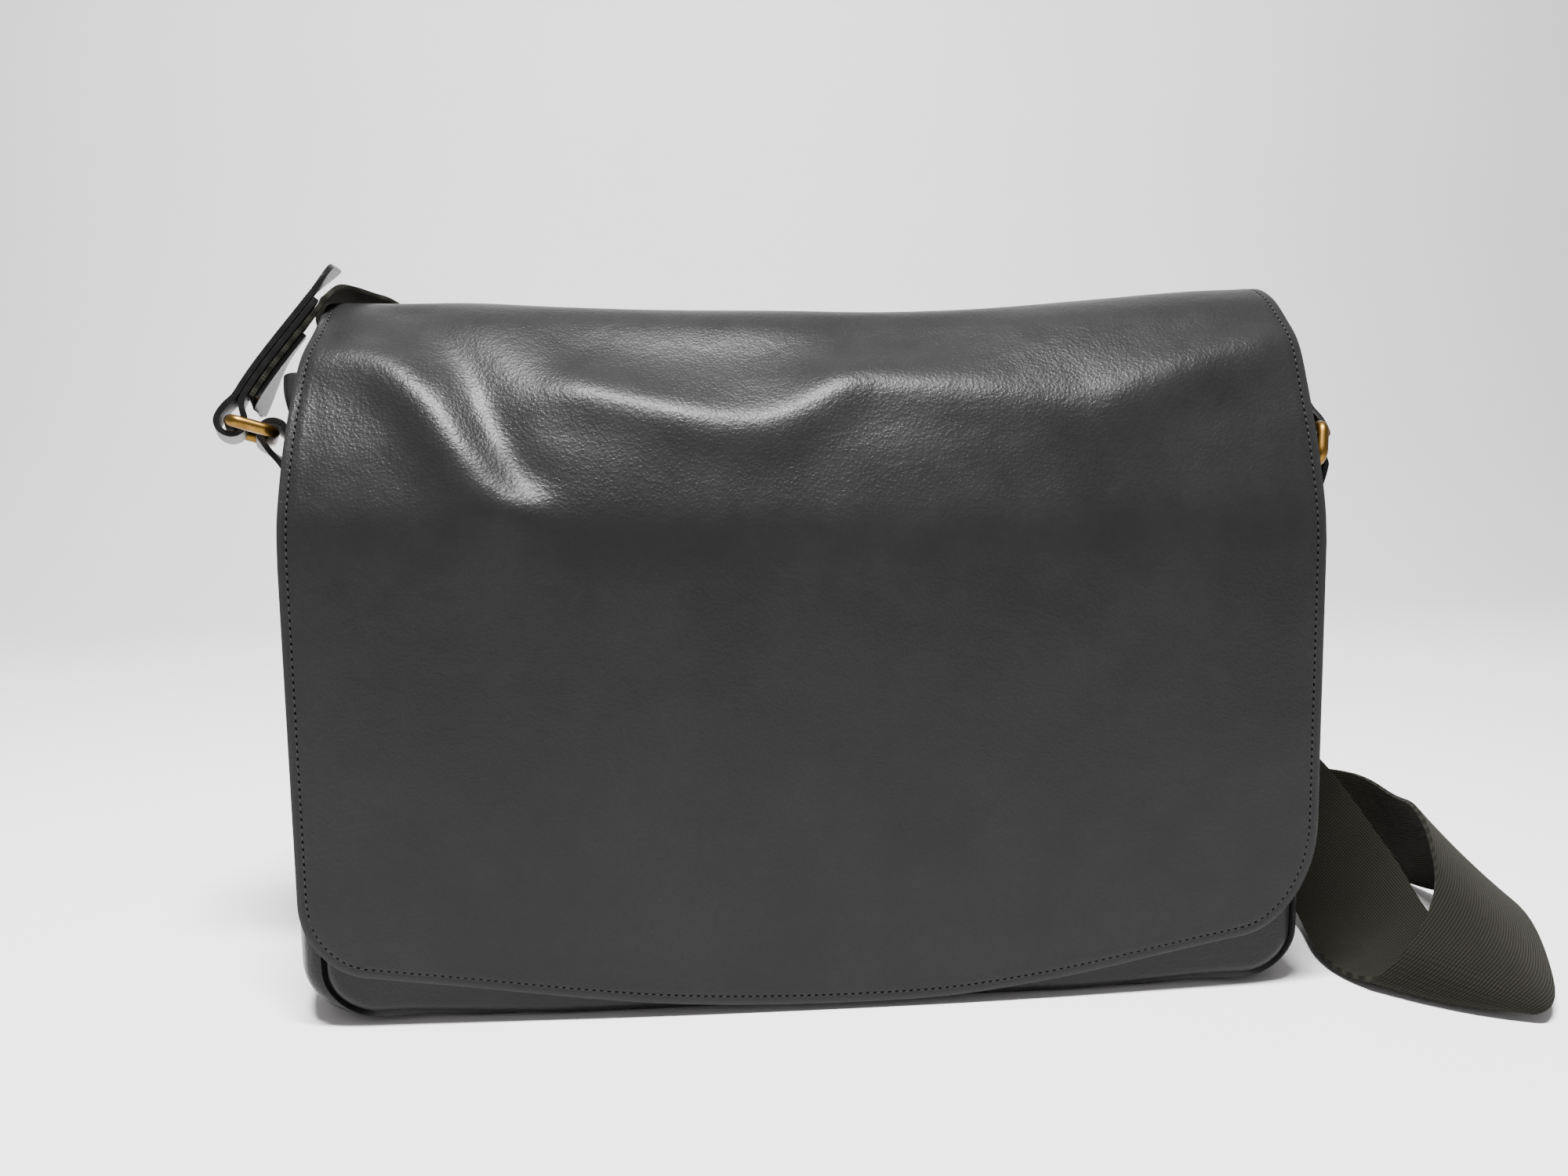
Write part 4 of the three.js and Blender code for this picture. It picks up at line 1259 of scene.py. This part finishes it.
def folded_end(reach, back, half, pitch, neck):
    """Outer leg from its free tip, round the ring's bar, and back; the two legs close up at the neck."""
    outer, inner = pitch / 2, -pitch / 2
    bend = np.array((0.25, 0.5, 0.75, 1)) * neck
    path = [(reach - s, outer, float(tip_half(half, s))) for s in TIP_STEPS]
    path += [(s, outer, half) for s in np.arange(reach - 18, neck + 4, -LEG_STEP)]
    path += [(s, mix(LOOP_RADIUS, outer, float(smooth(0, neck, s))), half) for s in bend[::-1]]
    for angle in np.radians(np.arange(90, 271, LOOP_STEP)):
        path.append((LOOP_RADIUS * math.cos(angle), LOOP_RADIUS * math.sin(angle), half))
    path += [(s, mix(-LOOP_RADIUS, inner, float(smooth(0, neck, s))), half) for s in bend]
    path += [(s, inner, half) for s in np.arange(neck + 8, back - 4, LEG_STEP)]
    path.append((back, inner, half))
    return path


def end_path():
    return folded_end(END_REACH, END_RETURN, END_WIDTH / 2, LAYER_PITCH, END_NECK)


def facing_path():
    """Facing whose lower tip curls away from the strap."""
    stations = [*(FACING_START + np.array(TIP_STEPS)), *np.arange(FACING_START + 16, FACING_END + 1, 6)]
    path = []
    for s in stations:
        curl = FACING_CURL * (1 - float(smooth(FACING_START, FACING_START + 32, s)))
        half = float(tip_half(END_WIDTH / 2, s - FACING_START))
        path.append((s, FACING_DEPTH - curl, half, -curl))
    return path


def tab_path():
    half = TAB_WIDTH / 2
    path = folded_end(TAB_REACH, TAB_REACH, half, TAB_PITCH, TAB_NECK)
    return [(s, offset, float(tip_half(half, TAB_REACH - s))) for s, offset, _ in path]


def edge_stitches(name, line):
    """Two rows of stitches along the edges of a strap end's outer leg."""
    at, across, normal, _ = line.frame(np.linspace(END_NECK + 2, END_REACH - 12, 60))
    points, runs, ups = [], [], []
    for edge in (-1, 1):
        out = normal * (LAYER_PITCH + END_WALL) / 2
        row = at + across * edge * (END_WIDTH / 2 - EDGE_STITCH_INSET) + out
        share = even_steps(row, EDGE_STITCH_PITCH)
        points.append(rows_at(row, share))
        runs.append(rows_at(np.gradient(row, axis=0), share))
        ups.append(rows_at(normal, share))
    return sew(name, np.concatenate(points), np.concatenate(runs), np.concatenate(ups), EDGE_STITCH_PITCH)


class BAG_OT_ring_tabs(bpy.types.Operator):
    """Build the folded tabs that hold the rings"""

    bl_idname = "bag.ring_tabs"
    bl_label = "Ring tabs"

    def execute(self, context):
        looks = leather_of(context, "leather_strap"), edge_paint()
        for side, run in TAB_RUNS.items():
            line = Carrier([bar_row(side, -1, 1), *run])
            points = strip_grid(line, finer(tab_path()), STRIP_COLUMNS)
            leather_wall(f"ring_tab_{side}", points, END_WALL, looks, offset=0.0, edge=STRAP_EDGE)
        return {"FINISHED"}


class BAG_OT_strap_ends(bpy.types.Operator):
    """Build the folded strap ends and their facings, with edge stitches"""

    bl_idname = "bag.strap_ends"
    bl_label = "Strap ends"

    def execute(self, context):
        looks = leather_of(context, "leather_strap"), edge_paint()
        for side in RINGS:
            line = Carrier(end_rows(side))
            points = strip_grid(line, finer(end_path()), STRIP_COLUMNS)
            leather_wall(f"strap_end_{side}", points, END_WALL, looks, offset=0.0, edge=STRAP_EDGE)
            points = strip_grid(line, finer(facing_path()), STRIP_COLUMNS)
            leather_wall(f"strap_facing_{side}", points, FACING_WALL, looks, offset=0.0, edge=FACING_EDGE)
            edge_stitches(f"strap_end_{side}_stitches", line)
        return {"FINISHED"}


class BAG_OT_webbing(bpy.types.Operator):
    """Build the woven strap along its whole run"""

    bl_idname = "bag.webbing"
    bl_label = "Webbing"

    def execute(self, context):
        look = context.scene.bag_strap
        line = strap_line()
        stations = np.linspace(WEBBING_START, line.length - WEBBING_START, WEBBING_ROWS)
        path = np.column_stack(np.broadcast_arrays(stations, 0.0, STRAP_WIDTH / 2))
        points = strip_grid(line, path, STRIP_COLUMNS)
        u = np.linspace(-1, 1, STRIP_COLUMNS) * STRAP_WIDTH / 2
        uv = np.stack(np.meshgrid(u, stations), axis=-1)
        webbing = laid_sheet("webbing_twill", points, uv=uv)
        twill = material_of("webbing_twill", webbing_sockets, look)
        thicken(webbing, look.wall / MM, [twill], offset=0.0, edge=STRAP_EDGE)
        finish_piece(webbing, "webbing", "webbing")
        return {"FINISHED"}


# Stage, in metres. Lamps: name, place, aim, width and depth.

FLOOR_SIZE = 9.0
FLOOR_MIDDLE_Y = -2.4
WALL_HEIGHT = 1.8
SWEEP_WIDTH = 0.9
SKY_COLOUR = (1.0, 0.985, 0.985, 1)
SKY_HORIZON = 1.8
LAMPS = (
    ("key", (-0.12, -0.44, 1.75), (0, 0, 0.22), (0.65, 0.14)),
    ("back", (0, 1.5, 1.7), (0, 0.3, 0), (2.6, 0.8)),
    ("wall", (0, 0.6, 2.2), (0, 2.1, 1.7), (2.8, 0.5)),
)


class BAG_OT_stage(bpy.types.Operator):
    """Set the floor, the light and the camera"""

    bl_idname = "bag.stage"
    bl_label = "Stage"

    def execute(self, context):
        look = context.scene.bag_stage
        self.floor(look)
        self.lights(context, look)
        self.camera(context)
        return {"FINISHED"}

    def floor(self, look):
        deselect()
        bpy.ops.mesh.primitive_plane_add(size=FLOOR_SIZE, location=(0, FLOOR_MIDDLE_Y, 0))
        floor = bpy.context.active_object
        floor.name = floor.data.name = "stage_floor"
        bpy.ops.object.transform_apply(location=True, rotation=False, scale=False)
        bpy.ops.object.mode_set(mode="EDIT")
        bpy.ops.mesh.select_mode(type="EDGE")
        bpy.ops.mesh.select_all(action="DESELECT")
        bpy.ops.object.mode_set(mode="OBJECT")
        back = max(v.co.y for v in floor.data.vertices)
        for edge in floor.data.edges:
            edge.select = all(floor.data.vertices[v].co.y > back - 0.01 for v in edge.vertices)
        bpy.ops.object.mode_set(mode="EDIT")
        bpy.ops.mesh.extrude_region_move(TRANSFORM_OT_translate={"value": (0, 0, WALL_HEIGHT)})
        bpy.ops.object.mode_set(mode="OBJECT")
        bend = math.radians(40)
        apply_modifier(floor, "BEVEL", width=SWEEP_WIDTH, segments=16, limit_method="ANGLE", angle_limit=bend)
        hold(floor)
        bpy.ops.object.shade_smooth()
        floor.data.materials.append(material_of("stage_paper", paper_sockets, look))

    def lights(self, context, look):
        world = context.scene.world or bpy.data.worlds.new("World")
        context.scene.world = world
        world.use_nodes = True
        tree = world.node_tree
        sky = tree.nodes.get("Background") or tree.nodes.new("ShaderNodeBackground")
        sky.inputs["Color"].default_value = SKY_COLOUR
        heading = node(tree, "ShaderNodeTexCoord").outputs["Generated"]
        height = node(tree, "ShaderNodeSeparateXYZ", {0: heading}).outputs["Z"]
        strength = ramp_node(tree, height, -0.05, 0.5, look.sky * SKY_HORIZON, look.sky)
        tree.links.new(strength, sky.inputs["Strength"])
        for name, place, aim, size in LAMPS:
            deselect()
            bpy.ops.object.light_add(type="AREA", location=place)
            lamp = bpy.context.active_object
            lamp.name = f"stage_{name}_light"
            lamp.rotation_euler = (Vector(aim) - Vector(place)).to_track_quat("-Z", "Y").to_euler()
            lamp.data.shape = "RECTANGLE"
            lamp.data.size, lamp.data.size_y = size
            lamp.data.energy = getattr(look, f"{name}_power")

    def camera(self, context):
        yaw, pitch, roll = (math.radians(a) for a in (CAMERA_YAW, CAMERA_PITCH, CAMERA_ROLL))
        right = Vector((math.cos(yaw), math.sin(yaw), 0))
        ahead = math.cos(pitch)
        forward = Vector((-math.sin(yaw) * ahead, math.cos(yaw) * ahead, -math.sin(pitch)))
        up = right.cross(forward)
        level = math.cos(roll) * right + math.sin(roll) * up
        upright = -math.sin(roll) * right + math.cos(roll) * up
        deselect()
        bpy.ops.object.camera_add(location=Vector(CAMERA_AT) * MM)
        camera = bpy.context.active_object
        camera.name = "stage_camera"
        camera.rotation_euler = Matrix((level, upright, -forward)).transposed().to_euler()
        camera.data.sensor_fit = "HORIZONTAL"
        camera.data.sensor_width = SENSOR_WIDTH
        camera.data.lens = CAMERA_FOCAL * SENSOR_WIDTH / IMAGE_WIDTH
        camera.data.clip_start = 0.01
        context.scene.camera = camera


# Add-on


class BAG_PT_sidebar(bpy.types.Panel):
    """Settings and steps of the bag"""

    bl_idname = "BAG_PT_sidebar"
    bl_label = "Messenger bag"
    bl_space_type = "VIEW_3D"
    bl_region_type = "UI"
    bl_category = "Bag"

    def draw(self, context):
        column = self.layout.column()
        for label, settings in SETTINGS.items():
            column.label(text=settings.__doc__)
            group = getattr(context.scene, label)
            for name in settings.__annotations__:
                column.prop(group, name)
        for step in STEPS:
            column.operator(step.bl_idname)


SETTINGS = {
    "bag_leather": LeatherLook,
    "bag_flap": FlapShape,
    "bag_strap": StrapLook,
    "bag_brass": BrassLook,
    "bag_stage": StageLook,
}
STEPS = (
    BAG_OT_flap,
    BAG_OT_panels,
    BAG_OT_gusset,
    BAG_OT_rings,
    BAG_OT_ring_tabs,
    BAG_OT_strap_ends,
    BAG_OT_webbing,
    BAG_OT_stage,
)


def register():
    for settings in SETTINGS.values():
        bpy.utils.register_class(settings)
    for label, settings in SETTINGS.items():
        setattr(bpy.types.Scene, label, bpy.props.PointerProperty(type=settings))
    for step in STEPS:
        bpy.utils.register_class(step)
    bpy.utils.register_class(BAG_PT_sidebar)


def unregister():
    bpy.utils.unregister_class(BAG_PT_sidebar)
    for step in reversed(STEPS):
        bpy.utils.unregister_class(step)
    for label, settings in SETTINGS.items():
        delattr(bpy.types.Scene, label)
        bpy.utils.unregister_class(settings)


def main():
    register()
    bpy.ops.bag.flap()
    bpy.ops.bag.panels()
    bpy.ops.bag.gusset()
    bpy.ops.bag.rings()
    bpy.ops.bag.ring_tabs()
    bpy.ops.bag.strap_ends()
    bpy.ops.bag.webbing()
    bpy.ops.bag.stage()


if __name__ == "__main__":
    main()
